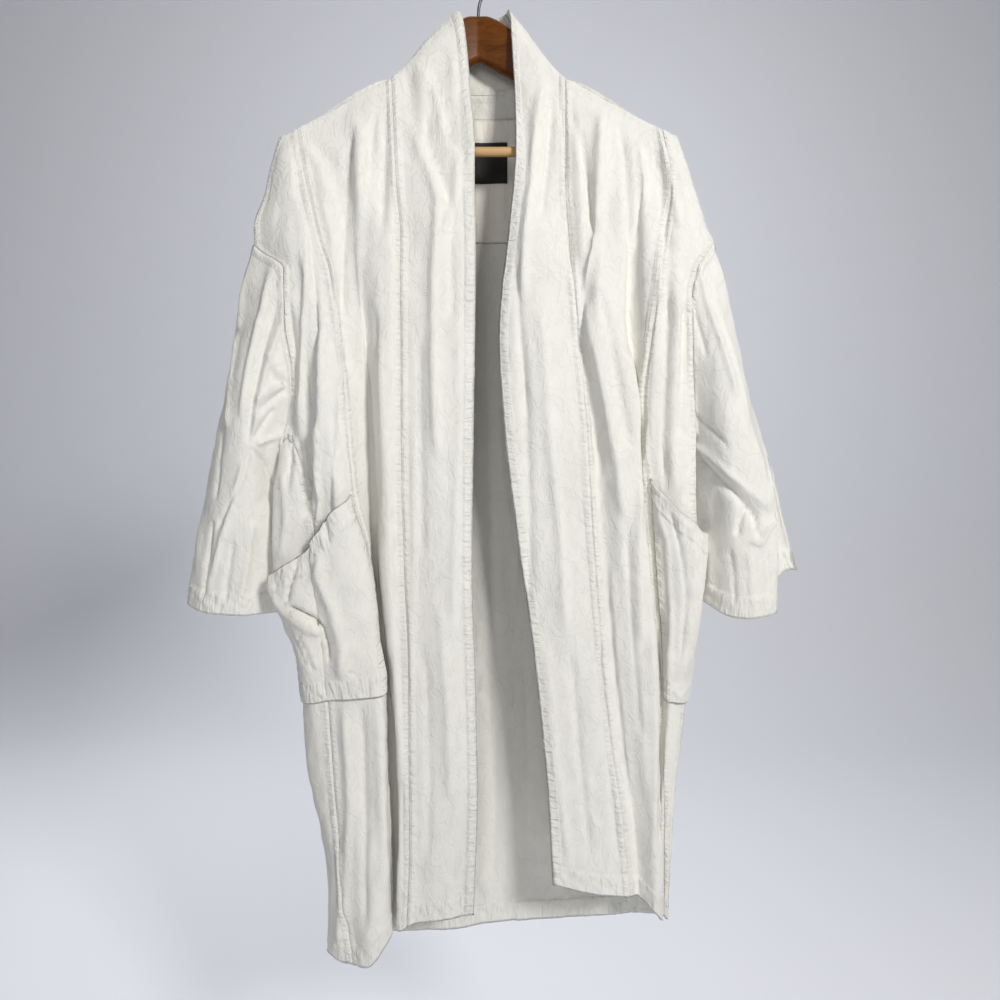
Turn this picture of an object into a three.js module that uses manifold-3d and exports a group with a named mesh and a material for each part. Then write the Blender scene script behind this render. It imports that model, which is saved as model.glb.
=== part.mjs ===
// A long open-front overcoat in heavy washed cotton, hanging on a wooden hanger.
//
// The coat has no fastening. A wide straight band runs up one front, round the back of the neck
// and down the other front. Each front is a centre panel and a side panel, joined by a long seam
// that starts at the end of the shoulder, and the back is cut the same way. The side panels reach
// past the shoulder, so the elbow length sleeves are set in low, and a slanted patch pocket is
// sewn over each side seam.
//
// Millimetres, +Z up, +X towards the wearer's left, and the wearer faces -Y. The origin is where
// the hanger's hook hangs: the top of the inside of its curl. Left and right are the wearer's.

import * as THREE from "three";
import Module from "manifold-3d";

const wasm = await Module();
wasm.setup();

// Driving sizes
const CLOTH = 1.6; // one layer of the coat's cloth, with its nap and wrinkles
const BAND_CLOTH = 3; // the band is two layers with a stiffener between them
const LINING_CLOTH = 1;
const HEM_EXTRA = 0.9; // what the turned-up hem adds to the wall
const HEM_DEPTH = 28;
const SEAM_GAP = 0.3; // between two pieces that are sewn together
const STAND_OFF = 0.85; // from a sharply turned seam to the wall of the neck band or a sleeve
const CORNER_OFF = 3.5; // the same where a sleeve meets the shoulder's end and the underarm
const LAY_GAP = 0.5; // between a panel and what lies on it
const ARM_LENGTH = 210; // from the hanger's middle to the end of one arm
const ARM_FORWARD = 38 / 212; // how far an arm leans forward for each millimetre outwards
const SHOULDER_SLOPE = 0.6;
const SHOULDER_RISE = -75.6; // where the two shoulder lines would meet over the middle
const SHOULDER_END = 218;
const NECK_POINT = 97.99; // where the band crosses the shoulder line
const ROLL = 8.3; // radius of the cloth's turn over an arm
const WOOD_UNDER = -107.5;
const WIRE = 1.7; // radius of the hook's wire
const CURL = 17; // radius of the hook's curl, to the middle of the wire
const BAR = 5.3; // radius of the trouser bar
const BAR_Z = -220.4;
const BAR_Y = -34.5;
const TENON = 3.2; // radius of the bar's ends, let into the arms
const BAR_REACH = 192;

// Levels count down the coat. TOP is the shoulder seam, whatever its real height there. Between
// CHEST and SKIRT a level is a height, and below SKIRT the levels stretch to each line's own hem.
const TOP = -208;
const ROLLED = TOP - ROLL; // the cloth has turned over the arm
const CHEST = -262;
const ARMHOLE_TOP = -324;
const ARMHOLE_END = -530;
const SKIRT = -900;
const HEM = -1130;
const ARMHOLE_STEPS = 9;

const mix = (a, b, t) => a + (b - a) * t;
const clamp01 = (t) => Math.min(1, Math.max(0, t));
const armY = (x) => -ARM_FORWARD * Math.abs(x);
const shoulderZ = (x) => SHOULDER_RISE - SHOULDER_SLOPE * Math.abs(x);

const ARMHOLE = Array.from({ length: ARMHOLE_STEPS + 1 }, (_, i) =>
  mix(ARMHOLE_TOP, ARMHOLE_END, i / ARMHOLE_STEPS)
);
const ROLL_LEVELS = [0, 0.2, 0.45, 0.72, 1].map((t) => mix(TOP, ROLLED, t));
const LEVELS = [
  ...ROLL_LEVELS, -224, -236, -249, CHEST, -285, -306, ...ARMHOLE,
  -560, -592, -625, -660, -700, -745, -790, -840, -900, -950, -1000, -1050, HEM + HEM_DEPTH, HEM,
];

// A table has one row for each level. Its first column is the level, and each name stands for two
// more, the x and y of a line that runs down the coat: a seam, an edge, a fold's crest or trough.
function lines(names, rows) {
  const table = {};
  names.split(" ").forEach((name, i) => {
    table[name] = rows.map((row) => ({ level: row[0], x: row[1 + 2 * i], y: row[2 + 2 * i] }));
  });
  return table;
}

const RIGHT = {
  ...lines("bandEdge bandRoll", [
    [TOP, -23, -2, -60, -12],
    [-212, -17, -15, -59, -21],
    [-224, -11, -23, -56, -29],
    [-234, -8, -31, -53, -36],
    [-251, -3, -46, -50, -46],
    [CHEST, -3, -50, -49, -51],
    [-318, -2, -53, -44, -57],
    [-414, -3, -55, -45, -62],
    [-530, -5, -56, -46, -63],
    [-700, -7, -58, -45, -63],
    [-830, -3, -58, -42, -62],
    [-950, -1, -58, -41, -62],
    [HEM, -6, -56, -44, -58],
  ]),
  ...lines("bandSeam crest trough longSeam", [
    [TOP, -98, -18, -122, -22, -160, -29, -202, -36],
    [CHEST, -90, -48, -112, -54, -146, -50, -189, -54],
    [-318, -85.5, -53, -109, -59, -142, -49, -176, -58],
    [-355, -86, -54, -108, -62, -138, -48, -165, -59],
    [-430, -86, -55, -108, -65, -128, -45, -156, -61],
    [-530, -86.5, -56, -108, -66, -123, -39, -146, -62],
    [-610, -86, -57, -109, -65, -121, -37, -138, -65],
    [-650, -85, -57, -108, -64, -120, -35, -128, -62],
    [-700, -84, -57, -106, -62, -118, -33, -122, -52],
    [-800, -80.5, -57, -99, -60, -110, -31, -116, -48],
    [-917, -80.5, -57, -93, -59, -103, -29, -109, -45],
    [-1052, -81.5, -56, -93, -57, -99.5, -27, -105, -42],
    [HEM, -85.5, -54, -93, -56, -98.5, -26, -104, -40],
  ]),
  ...lines("ridge hollow sideFront", [
    [TOP, -207, -37, -213, -38, -218, -39],
    [CHEST, -203, -60, -220, -57, -237, -43],
    [-306, -195, -63, -221, -60, -250, -47],
    [ARMHOLE_TOP, -190, -66, -214, -64, -250, -47],
    [-355, -182, -68, -200, -65, -214, -61],
    [-414, -173, -73, -192, -65, -214, -62],
    [-468, -168, -77, -188, -65, -208, -59],
    [-530, -163, -80, -183, -68, -214, -50],
    [-560, -160, -81, -180, -69, -203, -60],
    [-610, -155, -80, -172, -72, -189, -68],
    [-650, -142, -76, -164, -72, -184, -67],
    [-700, -130, -68, -153, -69, -181, -64],
    [-800, -122, -62, -147, -63, -176, -58],
    [-917, -114, -61, -138, -62, -171, -53],
    [-1052, -111, -60, -130, -67, -161, -51],
    [HEM, -110, -56, -127, -63, -151, -51],
  ]),
  ...lines("sideBack bulge outer turn backSeam", [
    [TOP, -218, -39, -214, -38, -211, -37.5, -207, -37, -202, -36],
    [CHEST, -237, -43, -233, -34, -222, -27, -208, -23, -189, -20],
    [-306, -250, -47, -245, -34, -229, -22, -208, -17, -183, -13],
    [ARMHOLE_TOP, -250, -47, -238, -28, -222, -18, -202, -13, -181, -10],
    [-355, -214, -22, -210, -17, -203, -13, -194, -10, -178, -6],
    [-414, -213, -16, -208, -11, -200, -7, -190, -4, -174, -1],
    [-468, -212, -20, -207, -13, -200, -7, -188, -1, -170, 3],
    [-530, -214, -50, -209, -38, -205, -22, -195, -4, -168, 6],
    [-560, -203, -60, -214, -60, -225, -50, -206, -8, -167, 7],
    [-610, -189, -68, -214, -68, -233, -54, -208, -10, -165, 8],
    [-700, -181, -64, -211, -69, -231, -60, -199, -14, -161, 10],
    [-800, -176, -58, -196, -60, -209, -46, -187, -8, -158, 12],
    [-917, -171, -53, -190, -50, -206, -34, -187, -4, -154, 13],
    [-1052, -161, -51, -172, -46, -183, -31, -171, 0, -150, 14],
    [HEM, -151, -51, -168, -46, -185, -29, -171, 2, -148, 14],
  ]),
  ...lines("quarter neckTurn eighth", [
    [TOP, -98, -18, -87, -3, -50, 9],
    [CHEST, -96, 7, -84, 10, -50, 16],
    [-414, -92, 15, -80, 17, -49, 20],
    [-700, -85, 19, -74, 20, -45, 22],
    [HEM, -78, 20, -68, 21, -41, 22],
  ]),
};

const LEFT = {
  ...lines("bandEdge bandRoll", [
    [TOP, 34, -2, 64, -12],
    [-212, 36, -15, 63, -21],
    [-224, 39, -23, 62, -29],
    [-234, 41, -31, 62, -36],
    [-251, 42, -46, 62, -46],
    [CHEST, 40, -49, 61, -51],
    [-318, 34, -51, 58, -58],
    [-375, 28, -52, 50, -63],
    [-430, 25, -54, 50, -65],
    [-530, 30, -57, 66, -64],
    [-650, 44, -58, 85, -61],
    [-800, 65, -58, 103, -61],
    [-950, 79, -58, 119, -61],
    [HEM, 87, -57, 131, -59],
  ]),
  ...lines("bandSeam dip crest fold trough longSeam", [
    [TOP, 98, -18, 111, -20, 139, -25, 167, -30, 182, -32, 204, -36.5],
    [CHEST, 98, -48, 120, -49, 138, -56, 172, -53, 183, -49, 214, -54],
    [-318, 102, -53, 127, -51, 137, -59, 168, -54, 177, -48, 207, -57],
    [-414, 111, -56, 120, -54, 133, -62, 166, -57, 173, -46, 197, -59],
    [-500, 120, -56, 128, -54, 144, -63, 180, -61, 182, -44, 190, -52],
    [-610, 127, -57, 139, -53, 160, -65, 187, -61, 187, -41, 195, -46],
    [-700, 134, -57, 149, -52, 170, -64, 196, -60, 195, -40, 203, -44],
    [-800, 143, -57, 158, -50, 180, -63, 206, -58, 204, -38, 212, -43],
    [-917, 157, -56, 173, -47, 194, -61, 213, -56, 211, -37, 219, -41],
    [-1052, 172, -55, 187, -43, 206, -58, 216, -54, 214, -35, 222, -39],
    [HEM, 178, -54, 191, -42, 208, -57, 216, -53, 214.5, -34, 223, -38],
  ]),
  ...lines("ridge hollow sideFront", [
    [TOP, 209, -37.4, 213, -38, 218, -39],
    [CHEST, 224, -57, 232, -53, 241, -43],
    [-306, 226, -59, 240, -56, 257, -45],
    [ARMHOLE_TOP, 224, -60, 242, -57, 263, -47],
    [-350, 219, -62, 234, -59, 246, -58],
    [-382, 214, -64, 227, -60, 238, -60],
    [-440, 206, -65, 224, -61, 241, -58],
    [-530, 205, -60, 226, -59, 247, -50],
    [-610, 211, -54, 230, -58, 250, -50],
    [-700, 218, -51, 236, -55, 251, -46],
    [-800, 223, -49, 234, -50, 245, -41],
    [-917, 226, -44, 232, -43, 237, -35],
    [-1052, 226, -40, 228, -38, 229, -31],
    [HEM, 226, -38, 227, -35, 227, -29],
  ]),
  ...lines("sideBack bulge outer turn backSeam", [
    [TOP, 218, -39, 215, -38.5, 212, -38, 209, -37.4, 204, -36.5],
    [CHEST, 241, -43, 237, -33, 229, -27, 218, -23, 200, -20],
    [-306, 257, -45, 250, -32, 237, -23, 218, -18, 195, -14],
    [ARMHOLE_TOP, 263, -47, 251, -30, 236, -20, 216, -15, 193, -10],
    [-350, 243, -25, 237, -18, 228, -14, 212, -10, 189, -6],
    [-382, 236, -17, 230, -13, 222, -10, 208, -6, 187, -3],
    [-440, 236, -15, 229, -9, 219, -5, 204, -1, 184, 2],
    [-530, 247, -50, 240, -38, 232, -18, 214, 0, 181, 6],
    [-610, 250, -50, 248, -38, 237, -18, 217, 2, 179, 9],
    [-700, 251, -46, 251, -34, 240, -14, 218, 5, 178, 11],
    [-800, 245, -41, 250, -30, 241, -9, 216, 6, 177, 12],
    [-917, 237, -35, 240, -26, 231, -8, 208, 6, 175, 13],
    [-1052, 229, -31, 230, -22, 222, -5, 201, 7, 172, 14],
    [HEM, 227, -29, 228, -20, 219, -4, 199, 8, 172, 14],
  ]),
  ...lines("quarter neckTurn eighth", [
    [TOP, 98, -18, 87, -3, 52, 9],
    [CHEST, 100, 7, 87, 10, 53, 16],
    [-414, 98, 15, 86, 17, 52, 20],
    [-700, 97, 19, 85, 20, 51, 22],
    [HEM, 94, 20, 83, 21, 50, 22],
  ]),
};

const BACK = lines("middle", [
  [TOP, 1, 15],
  [CHEST, 1, 19],
  [-700, 3, 23],
  [HEM, 4, 22],
]);

// Real top heights of the lines that start at the neck, and real hem heights of all lines.
const NECK_TOPS = { bandEdge: -51, bandRoll: -93, neckTurn: -135, eighth: -138, middle: -139 };
const RIGHT_HEMS = {
  bandEdge: -1103, bandRoll: -1109, bandSeam: -1118, crest: -1124, trough: -1130, longSeam: -1132,
  ridge: -1140, hollow: -1162, sideFront: -1170, sideBack: -1170, bulge: -1168, outer: -1165,
  turn: -1166, backSeam: -1168, quarter: -1172, neckTurn: -1172, eighth: -1172,
};
const LEFT_HEMS = {
  bandEdge: -1066, bandRoll: -1075, bandSeam: -1083, dip: -1088, crest: -1100, fold: -1113,
  trough: -1114, longSeam: -1116, ridge: -1120, hollow: -1123, sideFront: -1125, sideBack: -1125,
  bulge: -1128, outer: -1134, turn: -1140, backSeam: -1147, quarter: -1155, neckTurn: -1157,
  eighth: -1160,
};
const MIDDLE_HEM = -1164;

// A sleeve's lines run from the armhole to the cuff: along its top, down its front half, under it
// and up its back half. A row's level is the height of the sleeve's top, and each name stands for
// three more columns, x, y and z.
function sleeveLines(rows) {
  const names = ["top", "front", "lowFront", "under", "lowBack", "back"];
  const table = {};
  names.forEach((name, i) => {
    table[name] = rows.map((row) => ({
      level: row[0],
      x: row[1 + 3 * i],
      y: row[2 + 3 * i],
      z: row[3 + 3 * i],
    }));
  });
  return names.map((name) => table[name]);
}

const RIGHT_SLEEVE = sleeveLines([
  [-324, -250, -47, -324, -216, -64, -375, -211, -60, -478, -214, -50, -530, -213, -19, -478, -213, -18, -375],
  [-362, -262, -44, -362, -240, -70, -415, -226, -67, -504, -225, -44, -549, -232, -15, -500, -246, -15, -415],
  [-420, -277, -42, -420, -262, -69, -465, -244, -67, -540, -231, -32, -577, -247, -12, -530, -266, -13, -465],
  [-490, -288, -40, -490, -276, -67, -525, -253, -66, -585, -237, -28, -612, -256, -10, -580, -278, -10, -525],
  [-558, -304, -39, -558, -290, -65, -585, -258, -65, -628, -236, -25, -648, -258, -8, -625, -290, -8, -585],
  [-628, -320, -38, -628, -303, -63, -648, -264, -63, -674, -233, -22, -688, -260, -6, -672, -300, -6, -648],
  [-734, -341, -36, -734, -316, -60, -739, -270, -60, -743, -230, -18, -745, -263, -4, -743, -312, -5, -739],
]);

const LEFT_SLEEVE = sleeveLines([
  [-324, 263, -47, -324, 240, -62, -375, 242, -60, -478, 247, -50, -530, 238, -17, -478, 237, -19, -375],
  [-360, 277, -42, -360, 262, -69, -410, 255, -67, -496, 252, -44, -546, 256, -13, -490, 266, -15, -410],
  [-412, 290, -38, -412, 279, -71, -455, 265, -69, -525, 252, -31, -572, 268, -10, -520, 283, -12, -455],
  [-469, 306, -30, -469, 296, -71, -505, 275, -71, -562, 251, -21, -602, 275, -6, -560, 299, -8, -500],
  [-526, 326, -20, -526, 315, -69, -555, 283, -71, -603, 255, -16, -634, 283, -2, -600, 317, -2, -545],
  [-584, 348, -12, -584, 332, -66, -612, 288, -70, -647, 259, -15, -667, 288, 1, -640, 331, 2, -598],
  [-644, 365, -8, -644, 340, -62, -675, 290, -68, -695, 259, -15, -697, 292, 3, -680, 346, 4, -655],
  [-700, 383, -4, -700, 341, -60, -740, 291, -64, -745, 257, -15, -724, 296, 4, -715, 356, 6, -704],
]);
const SLEEVE_STEPS = 16;

// Low down, the left sleeve's back half stands out behind the sharp fold of its front half. The
// points between the two are tucked back by this much, wholly so from the tuck's full level.
const TUCK = [
  // point after the top, x, y, z
  [1, -10, 20, 8],
  [2, -12, 28, 14],
];
const TUCK_FROM = -469;
const TUCK_FULL = -630;

// The loose folds that belong to no line: each is a ridge along a segment of the front or the
// back, pushed out by lift, or in where lift is negative. Its ends fade out.
const FOLDS = [
  // face, from x, from z, to x, to z, width, lift
  ["front", -122, -190, -104, -290, 9, -4],
  ["front", -140, -165, -128, -300, 9, 5],
  ["front", -66, -110, -60, -240, 12, 4],
  ["front", -80, -118, -66, -215, 8, -4],
  ["front", -150, -300, -136, -470, 10, 5],
  ["front", 60, -130, 70, -260, 11, 4],
  ["front", 112, -262, 150, -470, 11, 5],
  ["front", 150, -200, 146, -330, 11, -5],
  ["front", 196, -250, 190, -430, 10, 4],
  ["front", 226, -330, 214, -520, 9, 4],
  ["back", -150, -230, -120, -520, 22, 4],
  ["back", 152, -230, 128, -540, 22, 4],
  ["back", -60, -420, -66, -1150, 20, 6],
  ["back", 40, -380, 62, -1150, 22, 6],
  ["back", -12, -320, 8, -1150, 16, -5],
  ["back", -130, -560, -120, -1150, 18, 5],
  ["back", 128, -520, 132, -1140, 18, 6],
  ["back", 98, -700, 100, -1150, 14, -4],
].map(([face, x0, z0, x1, z1, width, lift]) => ({ face, x0, z0, x1, z1, width, lift }));

// A smooth curve through a column's values that never overshoots between two of them.
function along(rows, column) {
  const at = rows.map((row) => row.level);
  const value = rows.map((row) => row[column]);
  const last = at.length - 1;
  const slope = at.slice(1).map((z, i) => (value[i + 1] - value[i]) / (z - at[i]));
  const tangent = value.map((_, i) => {
    if (i === 0) return slope[0];
    if (i === last) return slope[last - 1];
    const [a, b] = [slope[i - 1], slope[i]];
    return a * b <= 0 ? 0 : (2 * a * b) / (a + b);
  });
  return (level) => {
    if (level >= at[0]) return value[0];
    if (level <= at[last]) return value[last];
    const i = at.findIndex((z) => z <= level) - 1;
    const span = at[i + 1] - at[i];
    const t = (level - at[i]) / span;
    const held = (2 * t ** 3 - 3 * t ** 2 + 1) * value[i] + (3 * t ** 2 - 2 * t ** 3) * value[i + 1];
    const lean = (t ** 3 - 2 * t ** 2 + t) * tangent[i] + (t ** 3 - t ** 2) * tangent[i + 1];
    return held + span * lean;
  };
}

// The point of a body line at each level. A line that starts on the shoulder first turns over the
// arm, forwards with facing -1 and backwards with facing 1.
function bodyLine(rows, name, hem, facing) {
  const [x, y] = [along(rows, "x"), along(rows, "y")];
  const rolled = NECK_TOPS[name] === undefined;
  const topX = rows[0].x;
  const top = rolled ? shoulderZ(topX) : NECK_TOPS[name];
  const reach = rolled ? ROLL * Math.sqrt(clamp01((SHOULDER_END - Math.abs(topX)) / 10)) : 0;
  return LEVELS.map((level) => {
    if (level < SKIRT) {
      return [x(level), y(level), mix(SKIRT, hem, (SKIRT - level) / (SKIRT - HEM))];
    }
    if (level <= CHEST) return [x(level), y(level), level];
    if (!rolled) return [x(level), y(level), mix(top, CHEST, (TOP - level) / (TOP - CHEST))];
    const y0 = armY(x(level));
    if (level >= ROLLED) {
      const turned = ((TOP - level) / ROLL) * (Math.PI / 2);
      return [
        x(level),
        y0 + facing * reach * Math.sin(turned),
        top - reach * (1 - Math.cos(turned)),
      ];
    }
    const down = (ROLLED - level) / (ROLLED - CHEST);
    return [
      x(level),
      mix(y0 + facing * reach, y(CHEST), down * (2 - down)),
      mix(top - reach, CHEST, down),
    ];
  });
}

const sum = (list) => list.reduce((a, b) => a + b, 0);
const sub = (a, b) => [a[0] - b[0], a[1] - b[1], a[2] - b[2]];
const add = (a, b, t = 1) => [a[0] + b[0] * t, a[1] + b[1] * t, a[2] + b[2] * t];
const dot = (a, b) => a[0] * b[0] + a[1] * b[1] + a[2] * b[2];
const size = (a) => Math.sqrt(dot(a, a));
const unit = (a) => add([0, 0, 0], a, 1 / Math.max(size(a), 1e-9));
const cross = (a, b) => [
  a[1] * b[2] - a[2] * b[1],
  a[2] * b[0] - a[0] * b[2],
  a[0] * b[1] - a[1] * b[0],
];
const between = (a, b, t) => add(a, sub(b, a), t);

// A smooth curve through points, with its own number of cells in each span. It turns sharply
// where the points do, as a crease does.
function smooth(points, cells, closed = false) {
  const n = points.length;
  const spans = closed ? n : n - 1;
  const at = (i) => points[(i + n) % n];
  const chord = (i) => unit(sub(at(i + 1), at(i)));
  const heading = (i) => {
    if (!closed && i === 0) return { way: chord(0), pull: 1 };
    if (!closed && i === n - 1) return { way: chord(n - 2), pull: 1 };
    const [before, after] = [chord(i - 1), chord(i)];
    return { way: unit(add(before, after)), pull: Math.max(0.4, (1 + dot(before, after)) / 2) };
  };
  const curve = [];
  for (let i = 0; i < spans; i++) {
    const length = size(sub(at(i + 1), at(i)));
    const [start, end] = [heading(i), heading((i + 1) % n)];
    for (let k = 0; k < cells[i]; k++) {
      const t = k / cells[i];
      const held = between(at(i), at(i + 1), 3 * t ** 2 - 2 * t ** 3);
      const led = add(held, start.way, (t ** 3 - 2 * t ** 2 + t) * length * start.pull);
      curve.push(add(led, end.way, (t ** 3 - t ** 2) * length * end.pull));
    }
  }
  if (!closed) curve.push(at(n - 1));
  return curve;
}

// How far a fold of the coat moves a point of its face.
function foldAt(face, point) {
  return FOLDS.filter((fold) => fold.face === face).reduce((sum, fold) => {
    const [dx, dz] = [fold.x1 - fold.x0, fold.z1 - fold.z0];
    const length = Math.hypot(dx, dz);
    const t = ((point[0] - fold.x0) * dx + (point[2] - fold.z0) * dz) / length ** 2;
    const off = ((point[0] - fold.x0) * dz - (point[2] - fold.z0) * dx) / length;
    const fade = clamp01(t / 0.25) * clamp01((1 - t) / 0.25);
    return sum + fold.lift * fade * Math.exp(-((off / fold.width) ** 2));
  }, 0);
}

// The grid of one body strip: a row of points at every level, smooth across its lines.
function strip(table, hems, facing, names, cells) {
  const columns = names.map((name) => bodyLine(table[name], name, hems[name], facing));
  return LEVELS.map((_, r) => smooth(columns.map((column) => column[r]), cells));
}

function folded(grid, face) {
  const way = face === "front" ? -1 : 1;
  return grid.map((row) => row.map((p) => [p[0], p[1] + way * foldAt(face, p), p[2]]));
}

// The top row's points beyond the neck sit exactly on the shoulder line, front and back alike.
function onShoulder(grid) {
  const top = grid[0].map((p) =>
    Math.abs(p[0]) < NECK_POINT ? p : [p[0], armY(p[0]), shoulderZ(p[0])]
  );
  return [top, ...grid.slice(1)];
}

const columnsOf = (grid, from, to) => grid.map((row) => row.slice(from, to + 1));
const reversed = (grid) => grid.map((row) => [...row].reverse());

// Fronts, from the band's edge round to the side seam. The band's three lines come first.
const BAND_CELLS = [2, 3];
const RIGHT_CELLS = { centre: [3, 3, 3], side: [2, 2, 3] };
const LEFT_CELLS = { centre: [2, 2, 3, 2, 2], side: [2, 2, 2] };

function frontGrids(table, hems, centreNames, cells) {
  const names = ["bandEdge", "bandRoll", ...centreNames, "ridge", "hollow", "sideFront"];
  const all = strip(table, hems, -1, names, [...BAND_CELLS, ...cells.centre, ...cells.side]);
  const whole = onShoulder(folded(all, "front"));
  const seam = sum(BAND_CELLS);
  const long = seam + sum(cells.centre);
  return {
    band: columnsOf(whole, 0, seam),
    centre: columnsOf(whole, seam, long),
    side: columnsOf(whole, long, whole[0].length - 1),
  };
}

const rightFront = frontGrids(
  RIGHT, RIGHT_HEMS, ["bandSeam", "crest", "trough", "longSeam"], RIGHT_CELLS
);
const leftFront = frontGrids(
  LEFT, LEFT_HEMS, ["bandSeam", "dip", "crest", "fold", "trough", "longSeam"], LEFT_CELLS
);

// The back in one sweep, from the right side seam to the left one.
const BACK_HALF = [
  "sideBack", "bulge", "outer", "turn", "backSeam", "quarter", "neckTurn", "eighth",
];
const BACK_SIDE_CELLS = [2, 2, 2, 2];
const BACK_CENTRE_CELLS = [2, 2, 2, 3, 3, 2, 2, 2];

function backGrid() {
  const columns = [
    ...BACK_HALF.map((name) => bodyLine(RIGHT[name], name, RIGHT_HEMS[name], 1)),
    bodyLine(BACK.middle, "middle", MIDDLE_HEM, 1),
    ...[...BACK_HALF].reverse().map((name) => bodyLine(LEFT[name], name, LEFT_HEMS[name], 1)),
  ];
  const cells = [...BACK_SIDE_CELLS, ...BACK_CENTRE_CELLS, ...BACK_SIDE_CELLS];
  return onShoulder(folded(LEVELS.map((_, r) => smooth(columns.map((c) => c[r]), cells)), "back"));
}

const back = backGrid();
const backEnd = back[0].length - 1;
const inArmhole = (level) => level < ARMHOLE_TOP && level > ARMHOLE_END;
LEVELS.forEach((level, r) => {
  if (inArmhole(level)) return;
  back[r][0] = rightFront.side[r].at(-1);
  back[r][backEnd] = leftFront.side[r].at(-1);
});
const SIDE_COLUMNS = sum(BACK_SIDE_CELLS);
const QUARTER_COLUMN = SIDE_COLUMNS + BACK_CENTRE_CELLS[0];

// The neck band closes the strip of the two front bands round the back of the neck. Its lower row
// is the back's own neck edge, and its ends are the tops of the front bands.
function neckGrid() {
  const seam = back[0].slice(QUARTER_COLUMN, backEnd - QUARTER_COLUMN + 1);
  const [start, end] = [rightFront.band[0], leftFront.band[0]];
  const steps = seam.length - 1;
  const middleX = (start[0][0] + end[0][0]) / 2;
  const halfWidth = (end[0][0] - start[0][0]) / 2;
  return start.map((_, k) =>
    seam.map((low, j) => {
      if (j === 0) return start[k];
      if (j === steps) return end[k];
      const angle = (Math.PI * j) / steps;
      const high = [
        middleX - halfWidth * Math.cos(angle),
        start[0][1] + 17 * Math.sin(angle),
        start[0][2] - 4 * Math.sin(angle),
      ];
      const t = k / (start.length - 1);
      const bow = 4 * t * (1 - t) * Math.sin(angle) ** 0.5;
      return add(between(high, low, t), [0, 4, 6], bow);
    })
  );
}

// A sleeve's first ring is the armhole's own edge, and the rings ease from it into the lines.
function sleeveGrid(table, front, rear, backFirst) {
  const lineOf = table.map((rows) => ["x", "y", "z"].map((column) => along(rows, column)));
  const order = backFirst ? [0, 5, 4, 3, 2, 1] : [0, 1, 2, 3, 4, 5];
  const [first, second] = backFirst ? [rear, front] : [front, rear];
  const armhole = [...first, ...[...second].reverse().slice(1, -1)];
  const [from, to] = [table[0][0].level, table[0].at(-1).level];
  const ring = (level) => {
    const points = order.map((i) => lineOf[i].map((value) => value(level)));
    return smooth(points, [3, 3, 3, 3, 3, 3], true);
  };
  const start = ring(from);
  return Array.from({ length: SLEEVE_STEPS + 1 }, (_, k) => {
    const fade = clamp01(1 - k / 5) ** 1.5;
    return ring(mix(from, to, k / SLEEVE_STEPS)).map((p, j) =>
      add(p, sub(armhole[j], start[j]), fade)
    );
  });
}

const armholeRows = LEVELS.map((level, r) => ({ level, r }))
  .filter(({ level }) => level <= ARMHOLE_TOP && level >= ARMHOLE_END)
  .map(({ r }) => r);
const edgeOf = (grid, column) => armholeRows.map((r) => grid[r].at(column));
const rightSleeve = sleeveGrid(RIGHT_SLEEVE, edgeOf(rightFront.side, -1), edgeOf(back, 0), true);
const leftTube = sleeveGrid(LEFT_SLEEVE, edgeOf(leftFront.side, -1), edgeOf(back, -1), false);
const leftSleeve = leftTube.map((ring) => {
  const share = clamp01((TUCK_FROM - ring[0][2]) / (TUCK_FROM - TUCK_FULL));
  return ring.map((p, j) => {
    const tuck = TUCK.find(([point]) => point === j);
    return tuck ? add(p, tuck.slice(1), share) : p;
  });
});

// Every sewn sheet, with its columns running round the coat so that all of them face outwards.
const hemmed = (thick) => (r) => (thick + (LEVELS[r] <= HEM + HEM_DEPTH ? HEM_EXTRA : 0)) / 2;
const sleeveOff = (column) => {
  const atCorner = column === 0 || Math.abs(column - ARMHOLE_STEPS) < 2;
  return atCorner ? CORNER_OFF : STAND_OFF;
};
const cuffed = (r) => (CLOTH + (r >= SLEEVE_STEPS - 1 ? HEM_EXTRA : 0)) / 2;
const sheets = {
  band_right: { grid: rightFront.band, half: hemmed(BAND_CLOTH) },
  front_right: { grid: rightFront.centre, half: hemmed(CLOTH) },
  side_front_right: { grid: rightFront.side, half: hemmed(CLOTH) },
  side_back_right: { grid: columnsOf(back, 0, SIDE_COLUMNS), half: hemmed(CLOTH) },
  back_centre: { grid: columnsOf(back, SIDE_COLUMNS, backEnd - SIDE_COLUMNS), half: hemmed(CLOTH) },
  side_back_left: { grid: columnsOf(back, backEnd - SIDE_COLUMNS, backEnd), half: hemmed(CLOTH) },
  side_front_left: { grid: reversed(leftFront.side), half: hemmed(CLOTH) },
  front_left: { grid: reversed(leftFront.centre), half: hemmed(CLOTH) },
  band_left: { grid: reversed(leftFront.band), half: hemmed(BAND_CLOTH) },
  neck_band: { grid: neckGrid(), half: () => BAND_CLOTH / 2, off: () => STAND_OFF },
  sleeve_right: { grid: rightSleeve, half: cuffed, closed: true, off: sleeveOff },
  sleeve_left: { grid: leftSleeve, half: cuffed, closed: true, off: sleeveOff },
};

// One outward direction for each point, shared by all the sheets that are sewn together there, so
// that their walls meet along one line. On the shoulder it is square to the arm.
const keyOf = (p) => p.map((v) => Math.round(v * 50)).join(" ");

function quadNormals(grid, closed, use) {
  const columns = grid[0].length;
  for (let r = 0; r + 1 < grid.length; r++) {
    for (let c = 0; c < (closed ? columns : columns - 1); c++) {
      const d = (c + 1) % columns;
      const corners = [grid[r][c], grid[r][d], grid[r + 1][d], grid[r + 1][c]];
      const normal = unit(cross(sub(corners[2], corners[0]), sub(corners[3], corners[1])));
      corners.forEach((corner) => use(corner, normal));
    }
  }
}

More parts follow.
